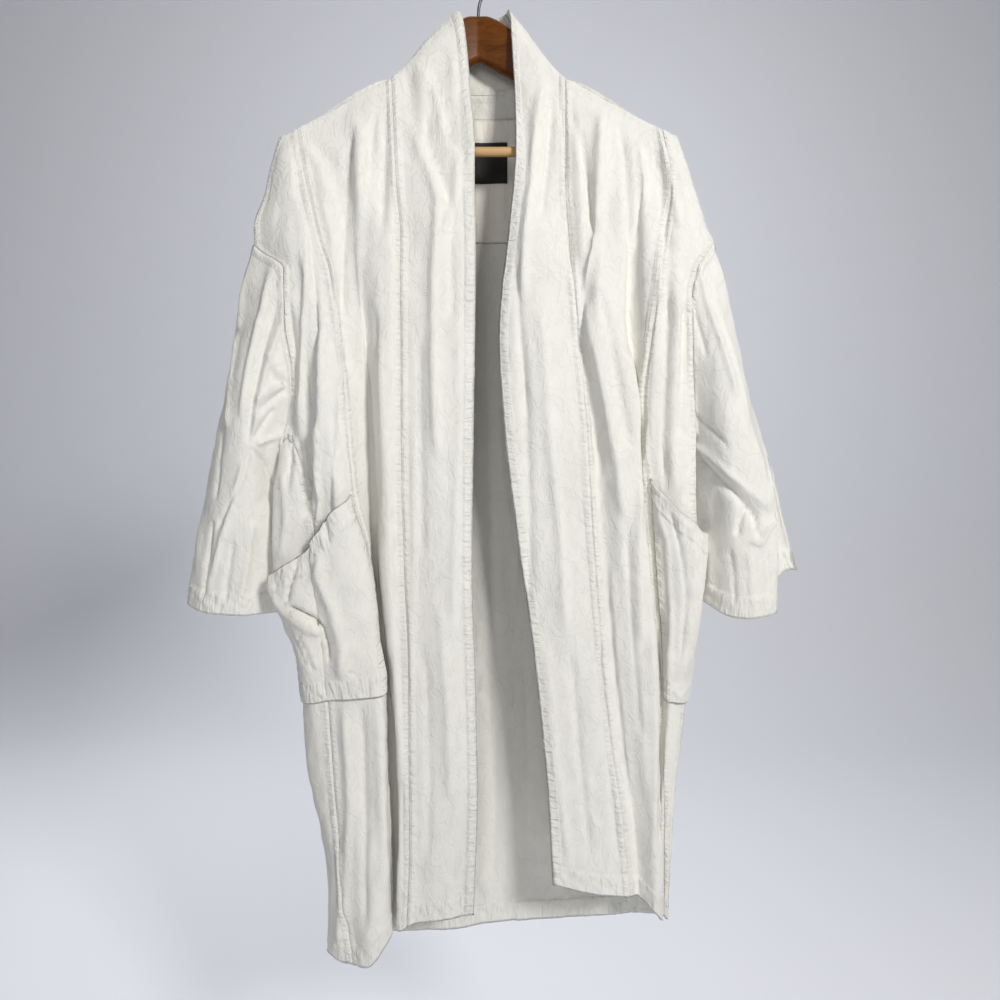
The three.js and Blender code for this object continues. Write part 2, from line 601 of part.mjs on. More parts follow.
function normalsOf(sheetList) {
  const found = new Map();
  for (const { grid, closed } of sheetList) {
    quadNormals(grid, closed, (corner, normal) => {
      const key = keyOf(corner);
      if (!found.has(key)) found.set(key, []);
      found.get(key).push(normal);
    });
  }
  return (p) => {
    const near = found.get(keyOf(p));
    const onLine = Math.abs(p[2] - shoulderZ(p[0])) < 0.01 && Math.abs(p[1] - armY(p[0])) < 0.01;
    const square = unit([Math.sign(p[0]) * SHOULDER_SLOPE, 0, 1]);
    const normal = onLine ? square : unit(near.reduce((a, b) => add(a, b), [0, 0, 0]));
    const facing = sum(near.map((n) => dot(n, normal))) / near.length;
    return { normal, miter: 1 / Math.max(0.7, facing) };
  };
}

function mesh(name, vertices, triangles, colour) {
  const geometry = new THREE.BufferGeometry();
  geometry.setAttribute("position", new THREE.Float32BufferAttribute(vertices.flat(), 3));
  geometry.setIndex(triangles);
  geometry.computeVertexNormals();
  const made = new THREE.Mesh(geometry, new THREE.MeshStandardMaterial({ color: colour }));
  made.name = name;
  return made;
}

// Edges drawn in from their seams, towards the next row or column of their own sheet.
function drawnIn(grid, closed, off) {
  const rows = grid.length;
  const columns = grid[0].length;
  return grid.map((row, r) =>
    row.map((p, c) => {
      const towards = (from, to) => add(from, unit(sub(to, from)), off(c));
      let q = p;
      if (r === 0) q = towards(q, grid[1][c]);
      if (r === rows - 1) q = towards(q, grid[rows - 2][c]);
      if (!closed && c === 0) q = towards(q, row[1]);
      if (!closed && c === columns - 1) q = towards(q, row[columns - 2]);
      return q;
    })
  );
}

// The wall of a sheet: two faces, half a thickness each side of it, closed round its edges.
function wall(name, { grid, half, closed = false, off = () => SEAM_GAP / 2 }, normalAt, colour) {
  const rows = grid.length;
  const columns = grid[0].length;
  const spans = closed ? columns : columns - 1;
  const seat = drawnIn(grid, closed, off);
  const side = (way) =>
    seat.flatMap((row, r) =>
      row.map((p, c) => {
        const { normal, miter } = normalAt(grid[r][c]);
        return add(p, normal, way * half(r) * miter);
      })
    );
  const vertices = [...side(1), ...side(-1)];
  const under = rows * columns;
  const at = (r, c) => r * columns + (c % columns);
  const triangles = [];
  const quad = (a, b, c, d) => triangles.push(a, b, c, a, c, d);
  for (let r = 0; r + 1 < rows; r++) {
    for (let c = 0; c < spans; c++) {
      quad(at(r, c), at(r, c + 1), at(r + 1, c + 1), at(r + 1, c));
      const [a, b, e, d] = [at(r, c), at(r, c + 1), at(r + 1, c + 1), at(r + 1, c)];
      triangles.push(a + under, e + under, b + under, a + under, d + under, e + under);
    }
    if (closed) continue;
    const [left, right] = [at(r, 0), at(r, columns - 1)];
    quad(left, left + columns, left + columns + under, left + under);
    quad(right + columns, right, right + under, right + columns + under);
  }
  for (let c = 0; c < spans; c++) {
    const [a, b] = [at(0, c), at(0, c + 1)];
    quad(b, a, a + under, b + under);
    const [d, e] = [at(rows - 1, c), at(rows - 1, c + 1)];
    quad(d, e, e + under, d + under);
  }
  return mesh(name, vertices, triangles, colour);
}

// A piece that lies on a panel: the panel's own points at a column and a level, moved along its
// normals by a distance.
function laid(grid, normalAt, column, level, distance) {
  const c = Math.min(Math.floor(column), grid[0].length - 2);
  const r = Math.min(LEVELS.findLastIndex((z) => z >= level), LEVELS.length - 2);
  const [u, v] = [column - c, (LEVELS[r] - level) / (LEVELS[r] - LEVELS[r + 1])];
  const corner = (i, j) => grid[r + i][c + j];
  const place = between(between(corner(0, 0), corner(0, 1), u), between(corner(1, 0), corner(1, 1), u), v);
  const away = (i, j) => {
    const { normal, miter } = normalAt(corner(i, j));
    return add([0, 0, 0], normal, miter);
  };
  const out = between(between(away(0, 0), away(0, 1), u), between(away(1, 0), away(1, 1), u), v);
  return add(place, out, distance);
}

const CREAM = 0xe3dac6;
const LINING = 0xc2b49c;
const BLACK = 0x1d1c1b;
const WOOD = 0xb8763a;
const PALE_WOOD = 0xcaa06a;
const STEEL = 0x55524e;

const group = new THREE.Group();
const normalAt = normalsOf(Object.values(sheets));
Object.entries(sheets).forEach(([name, sheet]) => group.add(wall(name, sheet, normalAt, CREAM)));

// Patch pockets. Each is sewn along its front, lower and back edges over the side seam, and its
// slanted mouth stands open. Columns are counted on the grid of the side front and side back.
const POCKET_ROWS = 8;
const POCKET_GAP = 0.9;
const MOUTH_LEVEL = -650;

function pocketGrid(grid, from, to, mouth, rise, bottom, belly, gape) {
  const columns = [from];
  for (let column = Math.floor(from) + 1; column <= to; column++) columns.push(column);
  const across = (column) => laid(grid, normalAt, column, MOUTH_LEVEL, 0)[0];
  const reach = [0];
  for (let k = 1; k < columns.length; k++) {
    reach.push(reach[k - 1] + Math.abs(across(columns[k]) - across(columns[k - 1])));
  }
  return Array.from({ length: POCKET_ROWS + 1 }, (_, k) =>
    columns.map((column, c) => {
      const [u, v] = [(column - from) / (to - from), k / POCKET_ROWS];
      const t = reach[c] / reach[columns.length - 1];
      const edge = mix(mouth[0], mouth[1], t) + rise * Math.sin(Math.PI * t);
      const level = mix(edge, mix(bottom[0], bottom[1], t), v);
      const round = Math.sin(Math.PI * u) ** 0.8;
      const lift = round * (belly * Math.sin(Math.PI * v) + gape * (1 - v) ** 1.5);
      return laid(grid, normalAt, column, level, CLOTH + POCKET_GAP + lift);
    })
  );
}

const rightSide = rightFront.side.map((row, r) => [...row, ...back[r].slice(1, SIDE_COLUMNS + 1)]);
const leftSide = leftFront.side.map((row, r) => [
  ...row,
  ...[...back[r]].reverse().slice(1, SIDE_COLUMNS + 1),
]);
const pockets = {
  pocket_right: { grid: pocketGrid(rightSide, 0.6, 11, [-604, -697], -4, [-836, -850], 7, 18) },
  pocket_left: { grid: reversed(pocketGrid(leftSide, 0.6, 10, [-587, -669], 0, [-846, -856], 4, 11)) },
};
Object.entries(pockets).forEach(([name, pocket]) => {
  const own = normalsOf([pocket]);
  group.add(wall(name, { ...pocket, half: () => CLOTH / 2 }, own, CREAM));
});

// Inside the back: the yoke lining under the neck, and the label sewn on it. Both are plain.
const LINING_LEVELS = [-220, -228, -236, -249, CHEST, -285, -309];
const backCentre = columnsOf(back, SIDE_COLUMNS, backEnd - SIDE_COLUMNS);
const liningColumns = Array.from({ length: backCentre[0].length - 4 }, (_, j) => j + 2);
const liningDepth = -(CLOTH + LINING_CLOTH) / 2 - LAY_GAP;
const lining = {
  grid: LINING_LEVELS.map((level) =>
    liningColumns.map((column) => laid(backCentre, normalAt, column, level, liningDepth))
  ),
  half: () => LINING_CLOTH / 2,
};
group.add(wall("yoke_lining", lining, normalsOf([lining]), LINING));

const labelDepth = liningDepth - LINING_CLOTH - LAY_GAP;
const label = {
  grid: [-232, -239, -246, -252.5].map((level) =>
    [0, 0.25, 0.5, 0.75, 1].map((t) =>
      laid(backCentre, normalAt, mix(7.3, 10.9, t), level, labelDepth)
    )
  ),
  half: () => LINING_CLOTH / 2,
};
group.add(wall("label", label, normalsOf([label]), BLACK));

// The hanger's wood: rounded sections from one arm's end to the other. The hump in the middle
// carries the hook.
const WOOD_TOPS = [
  // distance from the middle, top, half thickness
  [0, -58, 6.5],
  [9, -58.6, 6.5],
  [18, -62, 6.5],
  [28, -68, 6.5],
  [42, -81, 6.5],
  [56, -97, 6.5],
  [70, -115, 6.5],
  [83, -128.4, 6.5],
  [110, -144.6, 6.5],
  [150, -168.6, 6.5],
  [186, -190.2, 6.5],
  [201, -199.4, 6.2],
  [207, -203.6, 5],
  [ARM_LENGTH, -209, 2.6],
];
const WOOD_ROUND = 7; // points on each rounded edge

function woodSection(x, top, halfThick) {
  const shrink = Math.max(0, Math.abs(x) - 200);
  const under = WOOD_UNDER - 0.58 * Math.abs(x) + 0.06 * shrink ** 2;
  const section = [];
  for (let i = 0; i < WOOD_ROUND; i++) {
    const angle = (Math.PI * i) / (WOOD_ROUND - 1);
    section.push([x, armY(x) - halfThick * Math.cos(angle), top - halfThick * (1 - Math.sin(angle))]);
  }
  for (let i = 0; i < WOOD_ROUND; i++) {
    const angle = (Math.PI * i) / (WOOD_ROUND - 1);
    section.push([x, armY(x) + halfThick * Math.cos(angle), under + halfThick * (1 - Math.sin(angle))]);
  }
  return section;
}

function solid(sections) {
  const count = sections[0].length;
  const vertices = sections.flat();
  const triangles = [];
  const at = (s, i) => s * count + (i % count);
  for (let s = 0; s + 1 < sections.length; s++) {
    for (let i = 0; i < count; i++) {
      triangles.push(at(s, i), at(s + 1, i), at(s + 1, i + 1), at(s, i), at(s + 1, i + 1), at(s, i + 1));
    }
  }
  const last = sections.length - 1;
  for (let i = 1; i + 1 < count; i++) {
    triangles.push(at(0, 0), at(0, i), at(0, i + 1));
    triangles.push(at(last, 0), at(last, i + 1), at(last, i));
  }
  return new wasm.Manifold(
    new wasm.Mesh({
      numProp: 3,
      vertProperties: new Float32Array(vertices.flat()),
      triVerts: new Uint32Array(triangles),
    })
  );
}

function fromSolid(name, made, colour) {
  const { numProp, vertProperties, triVerts } = made.getMesh();
  const vertices = [];
  for (let i = 0; i < vertProperties.length; i += numProp) {
    vertices.push([vertProperties[i], vertProperties[i + 1], vertProperties[i + 2]]);
  }
  return mesh(name, vertices, [...triVerts], colour);
}

const rightWood = [...WOOD_TOPS].reverse().map(([x, top, thick]) => woodSection(-x, top, thick));
const leftWood = WOOD_TOPS.slice(1).map(([x, top, thick]) => woodSection(x, top, thick));
const rod = (from, to, radius) =>
  wasm.Manifold.cylinder(to - from, radius, radius, 16)
    .rotate([0, 90, 0])
    .translate([from, BAR_Y, BAR_Z]);
const tenonHole = rod(-BAR_REACH - 0.4, BAR_REACH + 0.4, TENON + 0.3);
const barRoom = rod(-BAR_REACH + 7, BAR_REACH - 7, BAR + 0.4);
const stemHole = wasm.Manifold.cylinder(24, WIRE + 0.3, WIRE + 0.3, 12).translate([0, 0, -78]);
const wood = solid([...rightWood, ...leftWood]).subtract(tenonHole).subtract(barRoom);
group.add(fromSolid("hanger_wood", wood.subtract(stemHole), WOOD));
const bar = rod(-BAR_REACH + 7.4, BAR_REACH - 7.4, BAR).add(rod(-BAR_REACH, BAR_REACH, TENON));
group.add(fromSolid("hanger_bar", bar, PALE_WOOD));

// The hook: a wire that rises from the wood, swings out and curls over to its tip.
const HOOK_ROUND = 10;
const CURL_MIDDLE = WIRE - CURL;

function hookPath() {
  const path = [[0, -77], [0, -60], [0.4, -48], [3.2, -38.6]];
  for (let degrees = -48; degrees <= 205; degrees += 11) {
    const angle = (degrees * Math.PI) / 180;
    path.push([CURL * Math.cos(angle), CURL_MIDDLE + CURL * Math.sin(angle)]);
  }
  return path;
}

function hookSections(path) {
  return path.map(([x, z], i) => {
    const [before, after] = [path[Math.max(0, i - 1)], path[Math.min(path.length - 1, i + 1)]];
    const way = unit([after[0] - before[0], 0, after[1] - before[1]]);
    return Array.from({ length: HOOK_ROUND }, (_, k) => {
      const angle = (2 * Math.PI * k) / HOOK_ROUND;
      const [out, side] = [WIRE * Math.cos(angle), -WIRE * Math.sin(angle)];
      return [x + out * way[2], side, z - out * way[0]];
    });
  });
}

group.add(fromSolid("hanger_hook", solid(hookSections(hookPath())), STEEL));

export default group;
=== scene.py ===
"""A long open-front overcoat in heavy washed cotton, on a wooden hanger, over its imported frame.

All sizes are millimetres until a mesh is made. A body line (a seam, an edge, a fold's crest or
trough) runs down the coat through the rows of its table, on a monotone cubic. At each level a
smooth curve runs across the lines, and all levels together make one grid for the two fronts and
one for the back. A sleeve is the same with rings that start from the armhole's own edge. Each
point of a grid is then moved along its normal by the creases of the CREASES table, by a soft
crumple and by the pull of the seams near it. A wall is that grid moved half the cloth's
thickness out and in, closed by a rounded rim. Left and right are the wearer's, and the wearer
faces -Y. Stitches are short raised bars of thread laid on the grids.
"""

import math

import bpy
import numpy as np
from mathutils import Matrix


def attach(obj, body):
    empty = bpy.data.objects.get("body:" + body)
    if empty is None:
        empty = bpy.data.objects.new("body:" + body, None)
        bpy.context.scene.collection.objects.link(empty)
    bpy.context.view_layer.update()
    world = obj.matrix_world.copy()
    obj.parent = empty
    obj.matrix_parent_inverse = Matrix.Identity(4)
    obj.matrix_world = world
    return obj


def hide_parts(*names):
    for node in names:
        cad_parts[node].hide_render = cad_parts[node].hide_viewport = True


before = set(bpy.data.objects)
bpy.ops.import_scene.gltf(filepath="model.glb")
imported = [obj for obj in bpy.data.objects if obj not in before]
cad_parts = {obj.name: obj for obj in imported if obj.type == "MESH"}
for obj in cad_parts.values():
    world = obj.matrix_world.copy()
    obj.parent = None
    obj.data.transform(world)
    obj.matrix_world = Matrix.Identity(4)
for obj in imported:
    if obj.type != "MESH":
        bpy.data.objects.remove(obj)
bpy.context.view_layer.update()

# The coat's sizes, levels and lines.
CLOTH = 1.6
BAND_CLOTH = 3.0
LINING_CLOTH = 1.0
HEM_EXTRA = 0.9
RIM_ROUND = 0.55
SEAM_PUCKER = 0.42
HEM_PUCKER = 0.6
METRES = 0.001
HEM_TURN = 26.5
HEM_STITCH = 25.0
ARM_FORWARD = 38 / 212
SHOULDER_SLOPE = 0.6
SHOULDER_RISE = -75.6
SHOULDER_END = 218.0
NECK_POINT = 97.99
ROLL = 8.3
TOP = -208.0
ROLLED = TOP - ROLL
CHEST = -262.0
ARMHOLE_TOP = -324.0
ARMHOLE_END = -530.0
SKIRT = -900.0
HEM = -1130.0
MIDDLE_HEM = -1164.0
ARMHOLE_STEPS = 66
ROW = 3.1
COLUMN = 3.2


def spaced(start, end, step):
    """Levels from start up to but without end, about a step apart."""
    count = max(1, round(abs(end - start) / step))
    return np.linspace(start, end, count + 1)[:-1]


LEVELS = np.concatenate([
    spaced(TOP, ROLLED, ROW / 2.4),
    spaced(ROLLED, ARMHOLE_TOP, ROW),
    np.linspace(ARMHOLE_TOP, ARMHOLE_END, ARMHOLE_STEPS + 1)[:-1],
    spaced(ARMHOLE_END, SKIRT, ROW),
    spaced(SKIRT, HEM, ROW * 0.85),
    [HEM],
])


def lines(names, rows):
    """The tables of several lines. A row is a level, then x and y for each of the names."""
    table = np.array(rows, float)
    return {
        name: table[:, [0, 1 + 2 * i, 2 + 2 * i]]
        for i, name in enumerate(names.split())
    }


RIGHT = {
    **lines("band_edge band_roll", [
        [TOP, -23, -2, -60, -12],
        [-212, -17, -15, -59, -21],
        [-224, -11, -23, -56, -29],
        [-234, -8, -31, -53, -36],
        [-251, -3, -46, -50, -46],
        [CHEST, -3, -50, -49, -51],
        [-318, -2, -53, -44, -57],
        [-414, -3, -55, -45, -62],
        [-530, -5, -56, -46, -63],
        [-700, -7, -58, -45, -63],
        [-830, -3, -58, -42, -62],
        [-950, -1, -58, -41, -62],
        [HEM, -6, -56, -44, -58],
    ]),
    **lines("band_seam crest trough long_seam", [
        [TOP, -98, -18, -122, -22, -160, -29, -202, -36],
        [CHEST, -90, -48, -112, -54, -146, -50, -189, -54],
        [-318, -85.5, -53, -109, -59, -142, -49, -176, -58],
        [-355, -86, -54, -108, -62, -138, -48, -165, -59],
        [-430, -86, -55, -108, -65, -128, -45, -156, -61],
        [-530, -86.5, -56, -108, -66, -123, -39, -146, -62],
        [-610, -86, -57, -109, -65, -121, -37, -138, -65],
        [-650, -85, -57, -108, -64, -120, -35, -128, -62],
        [-700, -84, -57, -106, -62, -118, -33, -122, -52],
        [-800, -80.5, -57, -99, -60, -110, -31, -116, -48],
        [-917, -80.5, -57, -93, -59, -103, -29, -109, -45],
        [-1052, -81.5, -56, -93, -57, -99.5, -27, -105, -42],
        [HEM, -85.5, -54, -93, -56, -98.5, -26, -104, -40],
    ]),
    **lines("ridge hollow side_front", [
        [TOP, -207, -37, -213, -38, -218, -39],
        [CHEST, -203, -60, -220, -57, -237, -43],
        [-306, -195, -63, -221, -60, -250, -47],
        [ARMHOLE_TOP, -190, -66, -214, -64, -250, -47],
        [-355, -182, -68, -200, -65, -214, -61],
        [-414, -173, -73, -192, -65, -214, -62],
        [-468, -168, -77, -188, -65, -208, -59],
        [-530, -163, -80, -183, -68, -214, -50],
        [-560, -160, -81, -180, -69, -203, -60],
        [-610, -155, -80, -172, -72, -189, -68],
        [-650, -142, -76, -164, -72, -184, -67],
        [-700, -130, -68, -153, -69, -181, -64],
        [-800, -122, -62, -147, -63, -176, -58],
        [-917, -114, -61, -138, -62, -171, -53],
        [-1052, -111, -60, -130, -67, -161, -51],
        [HEM, -110, -56, -127, -63, -151, -51],
    ]),
    **lines("side_back bulge outer turn back_seam", [
        [TOP, -218, -39, -214, -38, -211, -37.5, -207, -37, -202, -36],
        [CHEST, -237, -43, -233, -34, -222, -27, -208, -23, -189, -20],
        [-306, -250, -47, -245, -34, -229, -22, -208, -17, -183, -13],
        [ARMHOLE_TOP, -250, -47, -238, -28, -222, -18, -202, -13, -181, -10],
        [-355, -214, -22, -210, -17, -203, -13, -194, -10, -178, -6],
        [-414, -213, -16, -208, -11, -200, -7, -190, -4, -174, -1],
        [-468, -212, -20, -207, -13, -200, -7, -188, -1, -170, 3],
        [-530, -214, -50, -209, -38, -205, -22, -195, -4, -168, 6],
        [-560, -203, -60, -214, -60, -225, -50, -206, -8, -167, 7],
        [-610, -189, -68, -214, -68, -233, -54, -208, -10, -165, 8],
        [-700, -181, -64, -211, -69, -231, -60, -199, -14, -161, 10],
        [-800, -176, -58, -196, -60, -209, -46, -187, -8, -158, 12],
        [-917, -171, -53, -190, -50, -206, -34, -187, -4, -154, 13],
        [-1052, -161, -51, -172, -46, -183, -31, -171, 0, -150, 14],
        [HEM, -151, -51, -168, -46, -185, -29, -171, 2, -148, 14],
    ]),
    **lines("quarter neck_turn eighth", [
        [TOP, -98, -18, -87, -3, -50, 9],
        [CHEST, -96, 7, -84, 10, -50, 16],
        [-414, -92, 15, -80, 17, -49, 20],
        [-700, -85, 19, -74, 20, -45, 22],
        [HEM, -78, 20, -68, 21, -41, 22],
    ]),
}
LEFT = {
    **lines("band_edge band_roll", [
        [TOP, 34, -2, 64, -12],
        [-212, 36, -15, 63, -21],
        [-224, 39, -23, 62, -29],
        [-234, 41, -31, 62, -36],
        [-251, 42, -46, 62, -46],
        [CHEST, 40, -49, 61, -51],
        [-318, 34, -51, 58, -58],
        [-375, 28, -52, 50, -63],
        [-430, 25, -54, 50, -65],
        [-530, 30, -57, 66, -64],
        [-650, 44, -58, 85, -61],
        [-800, 65, -58, 103, -61],
        [-950, 79, -58, 119, -61],
        [HEM, 87, -57, 131, -59],
    ]),
    **lines("band_seam dip crest fold trough long_seam", [
        [TOP, 98, -18, 111, -20, 139, -25, 167, -30, 182, -32, 204, -36.5],
        [CHEST, 98, -48, 120, -49, 138, -56, 172, -53, 183, -49, 214, -54],
        [-318, 102, -53, 127, -51, 137, -59, 168, -54, 177, -48, 207, -57],
        [-414, 111, -56, 120, -54, 133, -62, 166, -57, 173, -46, 197, -59],
        [-500, 120, -56, 128, -54, 144, -63, 180, -61, 182, -44, 190, -52],
        [-610, 127, -57, 139, -53, 160, -65, 187, -61, 187, -41, 195, -46],
        [-700, 134, -57, 149, -52, 170, -64, 196, -60, 195, -40, 203, -44],
        [-800, 143, -57, 158, -50, 180, -63, 206, -58, 204, -38, 212, -43],
        [-917, 157, -56, 173, -47, 194, -61, 213, -56, 211, -37, 219, -41],
        [-1052, 172, -55, 187, -43, 206, -58, 216, -54, 214, -35, 222, -39],
        [HEM, 178, -54, 191, -42, 208, -57, 216, -53, 214.5, -34, 223, -38],
    ]),
    **lines("ridge hollow side_front", [
        [TOP, 209, -37.4, 213, -38, 218, -39],
        [CHEST, 224, -57, 232, -53, 241, -43],
        [-306, 226, -59, 240, -56, 257, -45],
        [ARMHOLE_TOP, 224, -60, 242, -57, 263, -47],
        [-350, 219, -62, 234, -59, 246, -58],
        [-382, 214, -64, 227, -60, 238, -60],
        [-440, 206, -65, 224, -61, 241, -58],
        [-530, 205, -60, 226, -59, 247, -50],
        [-610, 211, -54, 230, -58, 250, -50],
        [-700, 218, -51, 236, -55, 251, -46],
        [-800, 223, -49, 234, -50, 245, -41],
        [-917, 226, -44, 232, -43, 237, -35],
        [-1052, 226, -40, 228, -38, 229, -31],
        [HEM, 226, -38, 227, -35, 227, -29],
    ]),
    **lines("side_back bulge outer turn back_seam", [
        [TOP, 218, -39, 215, -38.5, 212, -38, 209, -37.4, 204, -36.5],
        [CHEST, 241, -43, 237, -33, 229, -27, 218, -23, 200, -20],
        [-306, 257, -45, 250, -32, 237, -23, 218, -18, 195, -14],
        [ARMHOLE_TOP, 263, -47, 251, -30, 236, -20, 216, -15, 193, -10],
        [-350, 243, -25, 237, -18, 228, -14, 212, -10, 189, -6],
        [-382, 236, -17, 230, -13, 222, -10, 208, -6, 187, -3],
        [-440, 236, -15, 229, -9, 219, -5, 204, -1, 184, 2],
        [-530, 247, -50, 240, -38, 232, -18, 214, 0, 181, 6],
        [-610, 250, -50, 248, -38, 237, -18, 217, 2, 179, 9],
        [-700, 251, -46, 251, -34, 240, -14, 218, 5, 178, 11],
        [-800, 245, -41, 250, -30, 241, -9, 216, 6, 177, 12],
        [-917, 237, -35, 240, -26, 231, -8, 208, 6, 175, 13],
        [-1052, 229, -31, 230, -22, 222, -5, 201, 7, 172, 14],
        [HEM, 227, -29, 228, -20, 219, -4, 199, 8, 172, 14],
    ]),
    **lines("quarter neck_turn eighth", [
        [TOP, 98, -18, 87, -3, 52, 9],
        [CHEST, 100, 7, 87, 10, 53, 16],
        [-414, 98, 15, 86, 17, 52, 20],
        [-700, 97, 19, 85, 20, 51, 22],
        [HEM, 94, 20, 83, 21, 50, 22],
    ]),
}
MIDDLE = lines("middle", [
    [TOP, 1, 15],
    [CHEST, 1, 19],
    [-700, 3, 23],
    [HEM, 4, 22],
])["middle"]
RIGHT_SLEEVE = np.array([
    [-324, -250, -47, -324, -216, -64, -375, -211, -60, -478, -214, -50, -530,
     -213, -19, -478, -213, -18, -375],
    [-362, -262, -44, -362, -240, -70, -415, -226, -67, -504, -225, -44, -549,
     -232, -15, -500, -246, -15, -415],
    [-420, -277, -42, -420, -262, -69, -465, -244, -67, -540, -231, -32, -577,
     -247, -12, -530, -266, -13, -465],
    [-490, -288, -40, -490, -276, -67, -525, -253, -66, -585, -237, -28, -612,
     -256, -10, -580, -278, -10, -525],
    [-558, -304, -39, -558, -290, -65, -585, -258, -65, -628, -236, -25, -648,
     -258, -8, -625, -290, -8, -585],
    [-628, -320, -38, -628, -303, -63, -648, -264, -63, -674, -233, -22, -688,
     -260, -6, -672, -300, -6, -648],
    [-734, -341, -36, -734, -316, -60, -739, -270, -60, -743, -230, -18, -745,
     -263, -4, -743, -312, -5, -739],
], float)
LEFT_SLEEVE = np.array([
    [-324, 263, -47, -324, 240, -62, -375, 242, -60, -478, 247, -50, -530,
     238, -17, -478, 237, -19, -375],
    [-360, 277, -42, -360, 262, -69, -410, 255, -67, -496, 252, -44, -546,
     256, -13, -490, 266, -15, -410],
    [-412, 290, -38, -412, 279, -71, -455, 265, -69, -525, 252, -31, -572,
     268, -10, -520, 283, -12, -455],
    [-469, 306, -30, -469, 296, -71, -505, 275, -71, -562, 251, -21, -602, 275, -6, -560, 299, -8, -500],
    [-526, 326, -20, -526, 315, -69, -555, 283, -71, -603, 255, -16, -634, 283, -2, -600, 317, -2, -545],
    [-584, 348, -12, -584, 332, -66, -612, 288, -70, -647, 259, -15, -667, 288, 1, -640, 331, 2, -598],
    [-644, 365, -8, -644, 340, -62, -675, 290, -68, -695, 259, -15, -697, 292, 3, -680, 346, 4, -655],
    [-700, 383, -4, -700, 341, -60, -740, 291, -64, -745, 257, -15, -724, 296, 4, -715, 356, 6, -704],
], float)
FOLDS = [
    # face, from x, from z, to x, to z, width, lift
    ("front", -122, -190, -104, -290, 9, -4),
    ("front", -140, -165, -128, -300, 9, 5),
    ("front", -66, -110, -60, -240, 12, 4),
    ("front", -80, -118, -66, -215, 8, -4),
    ("front", -150, -300, -136, -470, 10, 5),
    ("front", 60, -130, 70, -260, 11, 4),
    ("front", 112, -262, 150, -470, 11, 5),
    ("front", 150, -200, 146, -330, 11, -5),
    ("front", 196, -250, 190, -430, 10, 4),
    ("front", 226, -330, 214, -520, 9, 4),
    ("back", -150, -230, -120, -520, 22, 4),
    ("back", 152, -230, 128, -540, 22, 4),
    ("back", -60, -420, -66, -1150, 20, 6),
    ("back", 40, -380, 62, -1150, 22, 6),
    ("back", -12, -320, 8, -1150, 16, -5),
    ("back", -130, -560, -120, -1150, 18, 5),
    ("back", 128, -520, 132, -1140, 18, 6),
    ("back", 98, -700, 100, -1150, 14, -4),
]
NECK_TOPS = {
    "band_edge": -51, "band_roll": -93, "neck_turn": -135, "eighth": -138, "middle": -139,
}
RIGHT_HEMS = {
    "band_edge": -1103, "band_roll": -1109, "band_seam": -1118, "crest": -1124, "trough": -1130,
    "long_seam": -1132, "ridge": -1140, "hollow": -1162, "side_front": -1170, "side_back": -1170,
    "bulge": -1168, "outer": -1165, "turn": -1166, "back_seam": -1168, "quarter": -1172,
    "neck_turn": -1172, "eighth": -1172,
}
LEFT_HEMS = {
    "band_edge": -1066, "band_roll": -1075, "band_seam": -1083, "dip": -1088, "crest": -1100,
    "fold": -1113, "trough": -1114, "long_seam": -1116, "ridge": -1120, "hollow": -1123,
    "side_front": -1125, "side_back": -1125, "bulge": -1128, "outer": -1134, "turn": -1140,
    "back_seam": -1147, "quarter": -1155, "neck_turn": -1157, "eighth": -1160,
}

